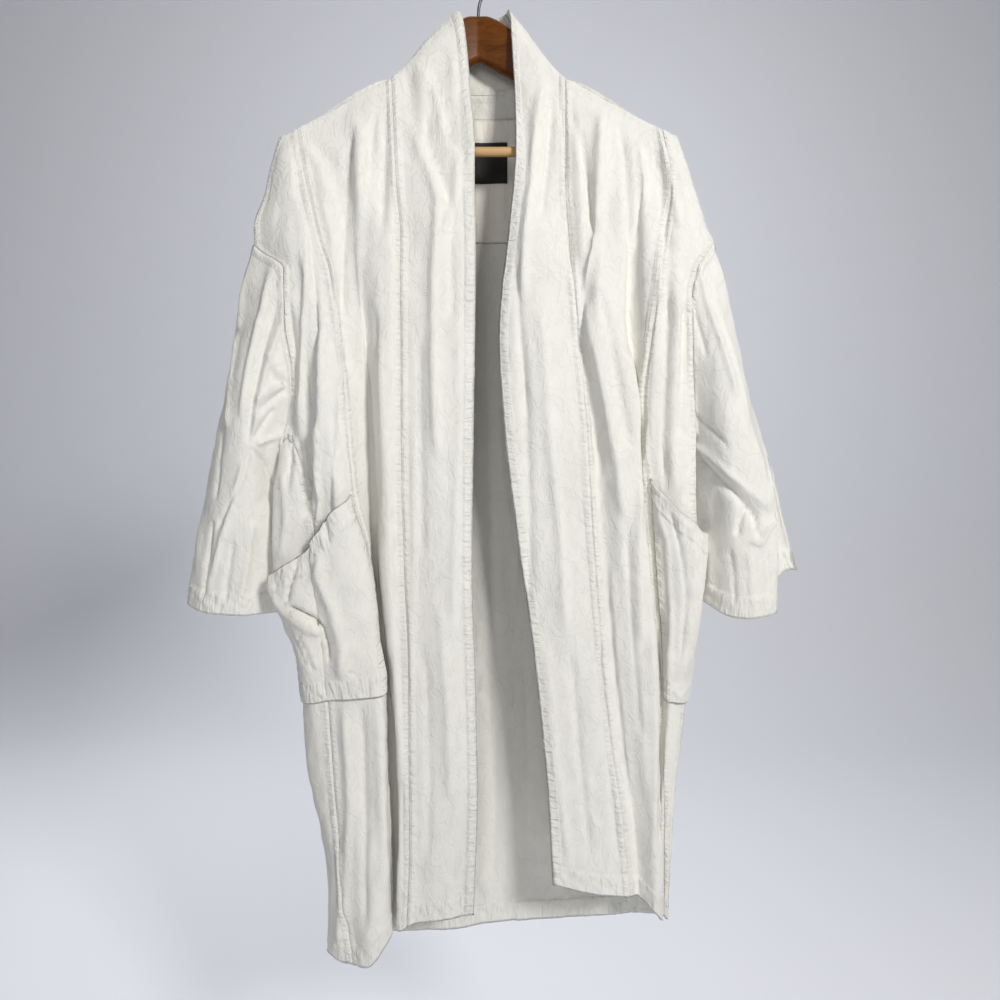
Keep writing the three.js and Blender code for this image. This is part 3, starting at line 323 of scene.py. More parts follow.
# The main creases: a ridge, or a trough where the height is negative, along a bent line
# of x and z.
CREASES = [
    # face, width, height, points of the line
    ("front", 7, -4.9, [(-104, -161), (-103, -205), (-103, -245), (-106, -312)]),
    ("front", 8.5, -5.5, [(-139, -186), (-148, -296), (-151, -410)]),
    ("front", 13.5, 5.5, [(-128, -193), (-131, -334), (-132, -499)]),
    ("front", 7, -4.1, [(-111, -165), (-120, -226), (-122, -269)]),
    ("front", 10, 4.1, [(-94, -195), (-97, -345), (-100, -521), (-103, -726)]),
    ("front", 7, -3.4, [(-113, -388), (-112, -521), (-118, -680)]),
    ("front", 10, 3.4, [(-121, -680), (-114, -843), (-112, -1023)]),
    ("front", 8.5, -2.7, [(-99, -773), (-98, -915), (-101, -1072)]),
    ("front", 8.5, 6.6, [
        (-74, -193), (-65, -221), (-50, -257), (-44, -280),
        (-46, -323), (-49, -360), (-49, -454), (-46, -566),
    ]),
    ("front", 8.5, -4.9, [(-58, -179), (-54, -216), (-37, -258), (-31, -291)]),
    ("front", 7, 5.4, [
        (-51, -150), (-43, -174), (-40, -204), (-22, -229),
        (-23, -262), (-32, -296), (-40, -329),
    ]),
    ("front", 7, -4.1, [(-34, -193), (-28, -211), (-13, -237)]),
    ("front", 8.5, -4.1, [(-28, -264), (-30, -323), (-28, -410)]),
    ("front", 12, 3.5, [(-22, -388), (-21, -521), (-26, -657), (-30, -773)]),
    ("front", 10, -3.1, [(-64, -421), (-64, -555), (-62, -680)]),
    ("front", 10, 3.4, [(-71, -521), (-73, -680), (-77, -843)]),
    ("front", 12, 3.5, [(-44, -726), (-36, -843), (-33, -963)]),
    ("front", 8.5, -2.8, [(-60, -784), (-57, -927), (-60, -1035)]),
    ("front", 8.5, 5.4, [(-71, -134), (-55, -144), (-40, -171)]),
    ("front", 7, -4.5, [(-53, -134), (-45, -153), (-36, -178)]),
    ("front", 7, 3.1, [(-31, -111), (-27, -134), (-27, -163)]),
    ("front", 8.5, 5.8, [(-177, -253), (-162, -323), (-157, -421), (-154, -521)]),
    ("front", 7, -5.8, [(-184, -312), (-177, -388), (-177, -476), (-183, -555), (-193, -634)]),
    ("front", 8.5, 5.5, [(-195, -269), (-187, -366), (-193, -454), (-198, -543)]),
    ("front", 6, -4.5, [(-198, -237), (-192, -301), (-189, -355)]),
    ("front", 7, -4.9, [(-208, -388), (-203, -443), (-208, -521), (-215, -611)]),
    ("front", 7, 4.5, [(-171, -521), (-174, -588), (-180, -645)]),
    ("front", 7, -4.1, [(-160, -555), (-163, -611), (-159, -657)]),
    ("front", 7, 4.5, [(-220, -577), (-217, -634), (-222, -680)]),
    ("front", 6, -4.1, [(-200, -543), (-196, -588), (-189, -634)]),
    ("front", 8.5, 4.9, [(-194, -216), (-175, -242), (-162, -285)]),
    ("front", 7, -3.5, [(-183, -211), (-161, -237), (-151, -280)]),
    ("front", 12, 5.5, [(-154, -843), (-150, -963), (-158, -1122)]),
    ("front", 10, -5.5, [(-135, -843), (-132, -987), (-134, -1122)]),
    ("front", 8.5, 4.5, [(-119, -773), (-115, -915), (-112, -1085)]),
    ("front", 8.5, 4.1, [(-165, -1023), (-164, -1085), (-167, -1146)]),
    ("front", 10, 5.8, [(73, -142), (66, -184), (61, -248), (54, -312), (49, -388)]),
    ("front", 8.5, -4.5, [(83, -168), (79, -226), (70, -301)]),
    ("front", 10, -4.1, [(47, -410), (54, -521), (59, -634), (57, -749)]),
    ("front", 12, 4.1, [(69, -388), (79, -521), (93, -657), (101, -773)]),
    ("front", 10, 3.1, [(77, -773), (90, -915), (107, -1048)]),
    ("front", 8.5, -3.1, [(106, -784), (118, -915), (131, -1035)]),
    ("front", 7, -2.8, [(43, -345), (48, -432), (56, -521)]),
    ("front", 7, -5.4, [(93, -155), (97, -205), (100, -269), (105, -366)]),
    ("front", 7, -5.4, [(101, -171), (113, -208), (125, -278), (130, -323)]),
    ("front", 10, 6.2, [(137, -178), (135, -226), (133, -280), (129, -334), (121, -379)]),
    ("front", 8.5, 4.5, [(110, -184), (114, -269), (116, -355)]),
    ("front", 10, 6.6, [(122, -388), (139, -476), (158, -577), (164, -634)]),
    ("front", 8.5, -5.4, [(136, -377), (153, -465), (172, -555)]),
    ("front", 10, -4.9, [(112, -410), (128, -499), (140, -588)]),
    ("front", 8.5, -5.8, [(158, -184), (163, -237), (171, -345), (171, -454)]),
    ("front", 10, 6.2, [(178, -205), (188, -312), (190, -421), (186, -532)]),
    ("front", 7, -4.5, [(194, -195), (206, -280), (211, -345)]),
    ("front", 7, 4.5, [(205, -216), (216, -269), (224, -312)]),
    ("front", 8.5, 5.8, [(202, -334), (200, -421), (196, -521), (190, -600)]),
    ("front", 7, -5.4, [(210, -366), (209, -465), (208, -543), (213, -602)]),
    ("front", 7, 4.9, [(220, -377), (220, -465), (218, -543), (222, -600)]),
    ("front", 7, -4.1, [(228, -388), (229, -465), (229, -543)]),
    ("front", 8.5, 4.5, [(183, -588), (182, -680), (186, -773)]),
    ("front", 8.5, -4.5, [(168, -634), (174, -749), (188, -891)]),
    ("front", 10, 4.1, [(153, -680), (166, -819), (182, -963)]),
    ("front", 8.5, -3.5, [(140, -773), (153, -915), (164, -1035)]),
    ("front", 10, 3.5, [(197, -749), (205, -891), (206, -1035)]),
    ("front", 7, -4.1, [(213, -726), (215, -867), (213, -1023)]),
    ("front", 7, 4.1, [(222, -726), (224, -867), (218, -987)]),
    ("front", 4.5, -6, [
        (-127, -421), (-125, -499), (-123, -577),
        (-122, -645), (-119, -726), (-114, -796), (-107, -867),
    ]),
    ("front", 5, -6, [(-107, -843), (-103, -915), (-100, -999), (-100, -1085), (-102, -1134)]),
    ("front", 8, 4, [(-109, -432), (-106, -532), (-102, -634), (-100, -726), (-94, -843), (-87, -963)]),
    ("front", 7, 6, [(-173, -421), (-170, -499), (-172, -555), (-177, -611)]),
    ("front", 5, -5, [(-190, -454), (-187, -532), (-188, -588), (-193, -634)]),
    ("front", 5, -5, [(-156, -476), (-153, -532), (-156, -588)]),
    ("right sleeve", 7.5, 4.4, [(-224, -336), (-237, -400), (-250, -455), (-261, -521)]),
    ("right sleeve", 6, -4.8, [(-220, -389), (-234, -438), (-248, -499), (-255, -548)]),
    ("right sleeve", 6, 5.1, [(-214, -400), (-227, -444), (-240, -493), (-251, -543)]),
    ("right sleeve", 5, -4.8, [(-252, -551), (-263, -588), (-281, -622), (-296, -647)]),
    ("right sleeve", 6, 4.4, [(-259, -566), (-274, -611), (-289, -656), (-301, -696)]),
    ("right sleeve", 4.5, -4.4, [(-252, -551), (-241, -571), (-235, -599), (-232, -633)]),
    ("right sleeve", 4.5, 4.4, [(-248, -548), (-232, -541), (-221, -534)]),
    ("right sleeve", 4.5, -4.1, [(-250, -543), (-240, -527), (-226, -508)]),
    ("right sleeve", 5, 4.4, [(-246, -499), (-233, -492), (-215, -481)]),
    ("right sleeve", 4.5, -4.1, [(-248, -516), (-231, -501), (-213, -486)]),
    ("right sleeve", 4.5, 3.4, [(-234, -446), (-226, -460), (-216, -475)]),
    ("right sleeve", 4.5, -3.4, [(-230, -466), (-224, -477), (-214, -481)]),
    ("right sleeve", 6, 3.4, [(-271, -422), (-275, -477), (-278, -532)]),
    ("right sleeve", 6, -3.4, [(-284, -499), (-288, -554), (-296, -611)]),
    ("right sleeve", 7.5, 3.7, [(-256, -633), (-262, -679), (-270, -724)]),
    ("right sleeve", 6, -3.4, [(-275, -656), (-283, -696), (-288, -729)]),
    ("right sleeve", 6, 3.4, [(-242, -611), (-243, -656), (-249, -713)]),
    ("right sleeve", 6, -3.4, [(-301, -633), (-307, -679), (-313, -724)]),
    ("right sleeve", 6, 3.1, [(-259, -336), (-266, -379), (-269, -422)]),
    ("right pocket", 4, -7, [(-198, -660), (-200, -679), (-208, -702), (-214, -726)]),
    ("right pocket", 4, -8, [
        (-213, -728), (-197, -735), (-182, -743),
        (-173, -754), (-170, -774), (-169, -795),
    ]),
    ("right pocket", 5, 5, [(-210, -735), (-198, -742), (-186, -752), (-180, -763)]),
    ("right pocket", 15, 7, [(-174, -663), (-176, -694), (-161, -734), (-153, -779), (-156, -819)]),
    ("right pocket", 9, 5, [(-235, -693), (-231, -713), (-218, -737), (-197, -750), (-184, -761)]),
    ("right pocket", 3.5, -2.6, [(-205, -759), (-194, -779), (-187, -807)]),
    ("right pocket", 3.5, -2.4, [(-215, -754), (-204, -777), (-196, -800)]),
    ("right pocket", 3.5, 2, [(-199, -763), (-189, -785), (-183, -805)]),
    ("right pocket", 4, -1.8, [(-239, -694), (-230, -703), (-221, -706)]),
    ("right pocket", 3.5, -2, [(-149, -805), (-138, -812), (-124, -809)]),
    ("left pocket", 5, 3, [(201, -606), (215, -656), (221, -737), (220, -818)]),
    ("left pocket", 5, -3.4, [(215, -616), (229, -668), (237, -725), (234, -795)]),
    ("left pocket", 5, 2.6, [(240, -636), (245, -679), (244, -725)]),
    ("left pocket", 4, -2.4, [(205, -600), (219, -611), (240, -624)]),
    ("left pocket", 4, 2.4, [(223, -830), (235, -842), (246, -830)]),
    ("left sleeve", 6, 4.2, [(244, -347), (253, -390), (270, -444), (285, -499)]),
    ("left sleeve", 5, -2.6, [(235, -357), (243, -411), (255, -455)]),
    ("left sleeve", 5, 2.6, [(262, -368), (274, -422), (291, -477), (301, -532)]),
    ("left sleeve", 4, -2.6, [(243, -512), (261, -530), (279, -552)]),
    ("left sleeve", 7, 5, [(243, -541), (273, -574), (298, -598), (316, -611), (331, -624)]),
    ("left sleeve", 7, -6.5, [(245, -558), (273, -591), (297, -613), (308, -625), (314, -640)]),
    ("left sleeve", 8, -4.5, [(300, -617), (293, -634), (291, -652)]),
    ("left sleeve", 5, 4.5, [(304, -656), (318, -659), (326, -644), (337, -632)]),
    ("left sleeve", 4.5, -4, [(308, -625), (311, -642), (318, -652)]),
    ("left sleeve", 5, 3, [(263, -651), (269, -678), (270, -724)]),
    ("left sleeve", 5, -2.6, [(284, -665), (289, -695), (292, -731)]),
    ("left sleeve", 5, 2.6, [(302, -665), (307, -690), (310, -729)]),
    ("left sleeve", 5, -2.4, [(322, -661), (327, -684), (331, -724)]),
    ("back", 12, 3.8, [(-150, -230), (-140, -420), (-128, -640)]),
    ("back", 11, -3.8, [(-118, -250), (-110, -450), (-112, -700)]),
    ("back", 12, 3.6, [(-84, -300), (-80, -560), (-86, -900)]),
    ("back", 11, -3.3, [(-40, -260), (-34, -520), (-40, -800), (-44, -1120)]),
    ("back", 13.5, 3.9, [(8, -330), (14, -620), (20, -900), (16, -1140)]),
    ("back", 11, -3.3, [(42, -240), (50, -460), (46, -760)]),
    ("back", 12, 3.8, [(84, -280), (78, -540), (86, -840)]),
    ("back", 11, -3.8, [(118, -250), (112, -480), (120, -760)]),
    ("back", 12, 3.6, [(156, -240), (148, -460), (150, -700)]),
    ("back", 9.5, 3.3, [(-196, -260), (-190, -420), (-194, -600), (-196, -800)]),
    ("back", 9.5, -3.3, [(-176, -330), (-178, -560), (-170, -860)]),
    ("back", 9.5, 3.3, [(214, -260), (206, -420), (214, -640), (216, -860)]),
    ("back", 9.5, -3.3, [(196, -330), (196, -560), (194, -880)]),
    ("back", 11, -3, [(-120, -760), (-112, -940), (-110, -1140)]),
    ("back", 12, 3.3, [(-64, -860), (-70, -1000), (-66, -1150)]),
    ("back", 11, 3.3, [(56, -800), (62, -980), (58, -1150)]),
    ("back", 11, -3, [(100, -860), (104, -1000), (110, -1140)]),
    ("back", 11, 3, [(140, -880), (144, -1000), (150, -1130)]),
    ("back", 9.5, 2.7, [(-30, -150), (-36, -210), (-30, -300)]),
    ("back", 9.5, 2.7, [(34, -150), (40, -210), (36, -290)]),
    ("back", 8, -2.7, [(-4, -150), (-2, -230), (0, -330)]),
    ("back", 8, 3.3, [(-214, -560), (-206, -700), (-196, -900), (-180, -1120)]),
    ("back", 8, -3, [(234, -560), (232, -760), (222, -1000)]),
    ("right sleeve back", 7.5, 3.7, [(-236, -360), (-256, -470), (-276, -580)]),
    ("right sleeve back", 7.5, -3.7, [(-224, -420), (-240, -540), (-252, -650)]),
    ("right sleeve back", 7.5, 4.1, [(-226, -520), (-254, -560), (-290, -580)]),
    ("right sleeve back", 7.5, -3.7, [(-232, -580), (-262, -600), (-300, -610)]),
    ("right sleeve back", 7.5, 3.4, [(-290, -560), (-302, -640), (-316, -720)]),
    ("right sleeve back", 7.5, 3.4, [(-258, -620), (-264, -680), (-272, -735)]),
    ("left sleeve back", 7.5, 3.7, [(262, -350), (278, -450), (298, -560)]),
    ("left sleeve back", 7.5, -3.7, [(252, -420), (266, -520), (276, -640)]),
    ("left sleeve back", 7.5, 4.1, [(254, -520), (286, -556), (330, -580)]),
    ("left sleeve back", 7.5, -3.7, [(262, -580), (296, -604), (340, -612)]),
    ("left sleeve back", 7.5, 3.4, [(318, -580), (334, -630), (352, -690)]),
    ("left sleeve back", 7.5, 3.4, [(280, -640), (290, -690), (296, -715)]),
]


def along(at, value):
    """A smooth curve through the values, which never overshoots between two of them."""
    slope = np.diff(value) / np.diff(at)
    tangent = np.empty_like(value)
    tangent[0], tangent[-1] = slope[0], slope[-1]
    a, b = slope[:-1], slope[1:]
    same = a * b > 0
    tangent[1:-1] = np.where(same, 2 * a * b / np.where(same, a + b, 1), 0)

    def at_level(level):
        level = np.clip(level, at[-1], at[0])
        i = np.clip(np.searchsorted(-at, -level, side="right") - 1, 0, len(at) - 2)
        span = at[i + 1] - at[i]
        t = (level - at[i]) / span
        held = (2 * t**3 - 3 * t**2 + 1) * value[i] + (3 * t**2 - 2 * t**3) * value[i + 1]
        lean = (t**3 - 2 * t**2 + t) * tangent[i] + (t**3 - t**2) * tangent[i + 1]
        return held + span * lean

    return at_level


def arm_y(x):
    return -ARM_FORWARD * np.abs(x)


def shoulder_z(x):
    return SHOULDER_RISE - SHOULDER_SLOPE * np.abs(x)


def mix(a, b, t):
    return a + (b - a) * t


def clamp(t, low=0.0, high=1.0):
    return np.clip(t, low, high)


def unit(vectors):
    size = np.linalg.norm(vectors, axis=-1, keepdims=True)
    return vectors / np.maximum(size, 1e-9)


def body_line(rows, name, hem, facing):
    """The line's point at every level. From the shoulder it first turns over the arm."""
    x = along(rows[:, 0], rows[:, 1])(LEVELS)
    y = along(rows[:, 0], rows[:, 2])(LEVELS)
    chest_y = along(rows[:, 0], rows[:, 2])(CHEST)
    rolled = name not in NECK_TOPS
    top = shoulder_z(rows[0, 1]) if rolled else NECK_TOPS[name]
    z = np.where(LEVELS < SKIRT, mix(SKIRT, hem, (SKIRT - LEVELS) / (SKIRT - HEM)), LEVELS)
    above = LEVELS > CHEST
    if not rolled:
        z = np.where(above, mix(top, CHEST, (TOP - LEVELS) / (TOP - CHEST)), z)
        return np.stack([x, y, z], axis=-1)
    reach = ROLL * math.sqrt(clamp((SHOULDER_END - abs(rows[0, 1])) / 10))
    y0 = arm_y(x)
    turned = (TOP - LEVELS) / ROLL * math.pi / 2
    down = (ROLLED - LEVELS) / (ROLLED - CHEST)
    over = LEVELS >= ROLLED
    y_roll = y0 + facing * reach * np.sin(turned)
    y_down = mix(y0 + facing * reach, chest_y, down * (2 - down))
    z_roll = top - reach * (1 - np.cos(turned))
    z_down = mix(top - reach, CHEST, down)
    y = np.where(above, np.where(over, y_roll, y_down), y)
    z = np.where(above, np.where(over, z_roll, z_down), z)
    return np.stack([x, y, z], axis=-1)


def smooth(points, cells, closed=False):
    """A smooth curve through points (line, level, axis), with its own cells in each span."""
    n = len(points)
    spans = n if closed else n - 1
    after = unit(np.roll(points, -1, axis=0) - points)
    before = np.roll(after, 1, axis=0)
    way = unit(before + after)
    pull = np.maximum(0.4, (1 + (before * after).sum(-1, keepdims=True)) / 2)
    if not closed:
        way[0], way[-1] = after[0], after[n - 2]
        pull[0], pull[-1] = 1, 1
    curve = []
    for i in range(spans):
        j = (i + 1) % n
        a, b = points[i], points[j]
        length = np.linalg.norm(b - a, axis=-1, keepdims=True)
        t = (np.arange(cells[i]) / cells[i])[:, None, None]
        held = mix(a, b, 3 * t**2 - 2 * t**3)
        start = (t**3 - 2 * t**2 + t) * length * pull[i] * way[i]
        end = (t**3 - t**2) * length * pull[j] * way[j]
        curve.append(held + start + end)
    if not closed:
        curve.append(points[-1:])
    return np.concatenate(curve).swapaxes(0, 1)


def cells_for(points, size=COLUMN):
    """How many cells each span between lines needs at its widest level."""
    gaps = np.linalg.norm(np.diff(points, axis=0), axis=-1)
    return [max(3, round(float(np.percentile(g, 75)) / size)) for g in gaps]


def folded(grid, face):
    """The grid with the loose folds of one face pushed out."""
    grid = grid.copy()
    x, z = grid[..., 0].copy(), grid[..., 2].copy()
    for side, x0, z0, x1, z1, width, lift in FOLDS:
        if side != face:
            continue
        dx, dz = x1 - x0, z1 - z0
        length = math.hypot(dx, dz)
        t = ((x - x0) * dx + (z - z0) * dz) / length**2
        off = ((x - x0) * dz - (z - z0) * dx) / length
        fade = clamp(t / 0.25) * clamp((1 - t) / 0.25)
        way = -1 if face == "front" else 1
        grid[..., 1] += way * lift * fade * np.exp(-((off / width) ** 2))
    return grid


def on_shoulder(grid):
    """The grid with its top row's points beyond the neck on the shoulder line."""
    top = grid[0]
    beyond = np.abs(top[:, 0]) >= NECK_POINT
    top[beyond, 1] = arm_y(top[beyond, 0])
    top[beyond, 2] = shoulder_z(top[beyond, 0])
    return grid


def front_grids(table, hems, centre_names):
    """Band, centre panel and side panel of one front, from the band's edge to the side seam."""
    names = ["band_edge", "band_roll", *centre_names, "ridge", "hollow", "side_front"]
    points = np.stack([body_line(table[n], n, hems[n], -1) for n in names])
    cells = cells_for(points)
    whole = on_shoulder(folded(smooth(points, cells), "front"))
    seam = sum(cells[:2])
    long = seam + sum(cells[2:len(centre_names) + 1])
    return whole[:, :seam + 1], whole[:, seam:long + 1], whole[:, long:], cells[-3:]


band_r, centre_r, side_r, side_cells_r = front_grids(
    RIGHT, RIGHT_HEMS, ["band_seam", "crest", "trough", "long_seam"]
)
band_l, centre_l, side_l, side_cells_l = front_grids(
    LEFT, LEFT_HEMS, ["band_seam", "dip", "crest", "fold", "trough", "long_seam"]
)

BACK_HALF = [
    "side_back", "bulge", "outer", "turn", "back_seam", "quarter", "neck_turn", "eighth",
]
back_points = np.stack(
    [body_line(RIGHT[n], n, RIGHT_HEMS[n], 1) for n in BACK_HALF]
    + [body_line(MIDDLE, "middle", MIDDLE_HEM, 1)]
    + [body_line(LEFT[n], n, LEFT_HEMS[n], 1) for n in reversed(BACK_HALF)]
)
back_cells = cells_for(back_points)
back = on_shoulder(folded(smooth(back_points, back_cells), "back"))
in_armhole = (LEVELS < ARMHOLE_TOP - 0.01) & (LEVELS > ARMHOLE_END + 0.01)
back[~in_armhole, 0] = side_r[~in_armhole, -1]
back[~in_armhole, -1] = side_l[~in_armhole, -1]
SIDE_R = sum(back_cells[:4])
SIDE_L = back.shape[1] - 1 - sum(back_cells[-4:])
NECK_R = SIDE_R + back_cells[4]
NECK_L = SIDE_L - back_cells[-5]


def neck_grid():
    """The neck band, from its free upper edge down to the back's own neck edge."""
    seam = back[0, NECK_R:NECK_L + 1]
    start, end = band_r[0], band_l[0]
    rows = max(len(start), len(end))
    t = np.linspace(0, 1, rows)
    ends = []
    for line in (start, end):
        own = np.linspace(0, 1, len(line))
        ends.append(np.stack([np.interp(t, own, line[:, k]) for k in range(3)], axis=-1))
    angle = np.linspace(0, math.pi, len(seam))
    middle, half = (start[0, 0] + end[0, 0]) / 2, (end[0, 0] - start[0, 0]) / 2
    high = np.stack([
        middle - half * np.cos(angle),
        start[0, 1] + 17 * np.sin(angle),
        start[0, 2] - 4 * np.sin(angle),
    ], axis=-1)
    s = t[:, None, None]
    bow = 4 * s * (1 - s) * np.sin(angle)[None, :, None] ** 0.5
    grid = mix(high[None], seam[None], s) + bow * np.array([0, 4, 6])
    grid[:, 0], grid[:, -1] = ends
    return grid


def sleeve_grid(table, front, rear, back_first, steps):
    """A sleeve's rings. The first is the armhole's own edge, and they ease into the lines."""
    level = table[:, 0]
    order = [0, 5, 4, 3, 2, 1] if back_first else [0, 1, 2, 3, 4, 5]
    first, second = (rear, front) if back_first else (front, rear)
    armhole = np.concatenate([first, second[::-1][1:-1]])
    at = np.linspace(level[0], level[-1], steps + 1)
    points = np.stack([
        np.stack([along(level, table[:, 1 + 3 * i + k])(at) for k in range(3)], axis=-1)
        for i in order
    ])
    rings = smooth(points, [len(armhole) // 6] * 6, closed=True)
    fade = clamp(1 - np.arange(steps + 1) / steps * 16 / 5) ** 1.5
    return rings + fade[:, None, None] * (armhole - rings[0])


SLEEVE_ROWS = 136
armhole_rows = np.flatnonzero((LEVELS <= ARMHOLE_TOP + 0.01) & (LEVELS >= ARMHOLE_END - 0.01))
sleeve_r = sleeve_grid(
    RIGHT_SLEEVE, side_r[armhole_rows, -1], back[armhole_rows, 0], True, SLEEVE_ROWS
)
sleeve_l = sleeve_grid(
    LEFT_SLEEVE, side_l[armhole_rows, -1], back[armhole_rows, -1], False, SLEEVE_ROWS
)
# Low down, the back half of the left sleeve stands out behind the sharp fold of its front half.
TUCK_START = -469.0
TUCK_DROP = 161.0
TUCK_MOVES = [
    # for x, y and z: the move one step round the ring, and two steps round it
    (-10, -12),
    (20, 28),
    (8, 14),
]
tuck_share = clamp((TUCK_START - sleeve_l[:, :1, 2]) / TUCK_DROP)[..., None]
ring_place = np.arange(sleeve_l.shape[1]) * 18 / sleeve_l.shape[1]
tuck = np.stack(
    [np.interp(ring_place, [0, 1, 2, 3], [0, *move, 0]) for move in TUCK_MOVES], axis=-1
)
sleeve_l = sleeve_l + tuck_share * tuck


def near_line(x, z, points):
    """Distance from each (x, z) to a bent line, and the share of its length run there."""
    points = np.array(points, float)
    runs = np.linalg.norm(np.diff(points, axis=0), axis=1)
    start = np.concatenate([[0], np.cumsum(runs)])
    best = np.full(x.shape, np.inf)
    share = np.zeros(x.shape)
    for i, run in enumerate(runs):
        dx, dz = (points[i + 1] - points[i]) / run
        t = clamp((x - points[i, 0]) * dx + (z - points[i, 1]) * dz, 0, run)
        gap = np.hypot(x - points[i, 0] - t * dx, z - points[i, 1] - t * dz)
        closer = gap < best
        best = np.where(closer, gap, best)
        share = np.where(closer, (start[i] + t) / start[-1], share)
    return best, share


def creased(point, normal, faces):
    """How far the listed creases of these faces move each point out."""
    out = np.zeros(point.shape[:-1])
    x, z = point[..., 0], point[..., 2]
    for face, width, height, line in CREASES:
        if face not in faces:
            continue
        reach = 3.2 * width
        xs, zs = [p[0] for p in line], [p[1] for p in line]
        near = (x > min(xs) - reach) & (x < max(xs) + reach)
        near &= (z > min(zs) - reach) & (z < max(zs) + reach)
        if not near.any():
            continue
        gap, share = near_line(x[near], z[near], line)
        fade = clamp(share / 0.22) * clamp((1 - share) / 0.22)
        sharp = 1 / (1 + (gap / (0.62 * width)) ** 2) ** 2
        way = -1 if "back" not in face else 1
        faces_us = clamp((way * normal[near][..., 1] + 0.25) / 0.55)
        out[near] += height * fade * (3 - 2 * fade) * sharp * faces_us
    return out


BULGES = [
    # centre x, y, z, radius, height
    (-217, -44, -543, 13, 5.5),
    (-222, -40, -548, 12, 3),
]


def bulged(point):
    """How far the soft bulges of cloth pushed out at the underarm move each point."""
    out = np.zeros(point.shape[:-1])
    for x, y, z, radius, height in BULGES:
        gap = np.linalg.norm(point - np.array([x, y, z]), axis=-1)
        out += height * np.exp(-((gap / radius) ** 2))
    return out


random = np.random.default_rng(7)
RIPPLES = [
    # wave length, height
    (92, 1.1),
    (61, 0.8),
    (41, 0.45),
    (27, 0.22),
    (18, 0.1),
]
ripple_ways = [
    [unit(random.normal(size=3) * np.array([1.0, 1.0, 0.3])) for _ in range(4)] for _ in RIPPLES
]
ripple_phases = random.uniform(0, 2 * math.pi, size=(len(RIPPLES), 4))


def crumple(point):
    """A soft uneven height, the sum of bent waves that run mostly down the cloth."""
    height = np.zeros(point.shape[:-1])
    for (length, size), ways, phases in zip(RIPPLES, ripple_ways, ripple_phases):
        bend = np.zeros(point.shape[:-1])
        for way, phase in zip(ways, phases):
            angle = 2 * math.pi * (point @ way) / length + phase + 1.3 * bend
            bend = np.sin(angle)
            height += size * 0.5 * bend
    return height


def normals_of(grid, closed=False):
    """The grid's own normals, before they are shared across seams."""
    if closed:
        across = np.roll(grid, -1, axis=1) - np.roll(grid, 1, axis=1)
    else:
        across = np.gradient(grid, axis=1)
    return unit(np.cross(across, np.gradient(grid, axis=0)))


# The sides of a grid: the axis that leads away from each, and whether it is that axis's end.
EDGES = {"left": (1, False), "right": (1, True), "top": (0, False), "foot": (0, True)}


def from_edge(grid, axis, end):
    """Distance along the grid from one of its edges, in millimetres."""
    steps = np.linalg.norm(np.diff(grid, axis=axis), axis=-1)
    if end:
        steps = np.flip(steps, axis)
    run = np.cumsum(steps, axis)
    zero = np.zeros_like(run.take([0], axis))
    run = np.concatenate([zero, run], axis)
    return np.flip(run, axis) if end else run


# The grids of every sewn piece. Their columns run round the coat, so that all face outwards.
SHEETS = {
    # grid, half the wall, closed, creases, sewn edges among left, right, top and foot
    "band_right": (band_r, BAND_CLOTH / 2, False, ["front"], "right top"),
    "front_right": (centre_r, CLOTH / 2, False, ["front"], "left right top"),
    "side_front_right": (side_r, CLOTH / 2, False, ["front", "back"], "left right top"),
    "side_back_right": (back[:, :SIDE_R + 1], CLOTH / 2, False, ["front", "back"], "left right top"),
    "back_centre": (back[:, SIDE_R:SIDE_L + 1], CLOTH / 2, False, ["back"], "left right top"),
    "side_back_left": (back[:, SIDE_L:], CLOTH / 2, False, ["front", "back"], "left right top"),
    "side_front_left": (side_l[:, ::-1], CLOTH / 2, False, ["front", "back"], "left right top"),
    "front_left": (centre_l[:, ::-1], CLOTH / 2, False, ["front"], "left right top"),
    "band_left": (band_l[:, ::-1], BAND_CLOTH / 2, False, ["front"], "left top"),
    "neck_band": (neck_grid(), BAND_CLOTH / 2, False, ["back"], "left right foot"),
    "sleeve_right": (sleeve_r, CLOTH / 2, True, ["right sleeve", "right sleeve back"], "top"),
    "sleeve_left": (sleeve_l, CLOTH / 2, True, ["left sleeve", "left sleeve back"], "top"),
}


def shared_normals():
    """Each sheet's normals, averaged where sheets meet at a seam."""
    own = [normals_of(grid, closed) for grid, _, closed, _, _ in SHEETS.values()]
    points = np.concatenate([sheet[0].reshape(-1, 3) for sheet in SHEETS.values()])
    stacked = np.concatenate([n.reshape(-1, 3) for n in own])
    keys = np.round(points * 20).astype(np.int64)
    _, same = np.unique(keys, axis=0, return_inverse=True)
    same = same.reshape(-1)
    total = np.zeros((same.max() + 1, 3))
    np.add.at(total, same, stacked)
    welded = unit(total)[same]
    on_line = np.abs(points[:, 2] - shoulder_z(points[:, 0])) < 0.01
    on_line &= np.abs(points[:, 1] - arm_y(points[:, 0])) < 0.01
    square = np.stack(
        [np.sign(points[:, 0]) * SHOULDER_SLOPE, 0 * points[:, 0], 0 * points[:, 0] + 1], axis=-1
    )
    welded[on_line] = unit(square[on_line])
    found, start = {}, 0
    for name, (grid, _, _, _, _) in SHEETS.items():
        count = grid.shape[0] * grid.shape[1]
        found[name] = welded[start:start + count].reshape(grid.shape)
        start += count
    return found


NORMALS = shared_normals()


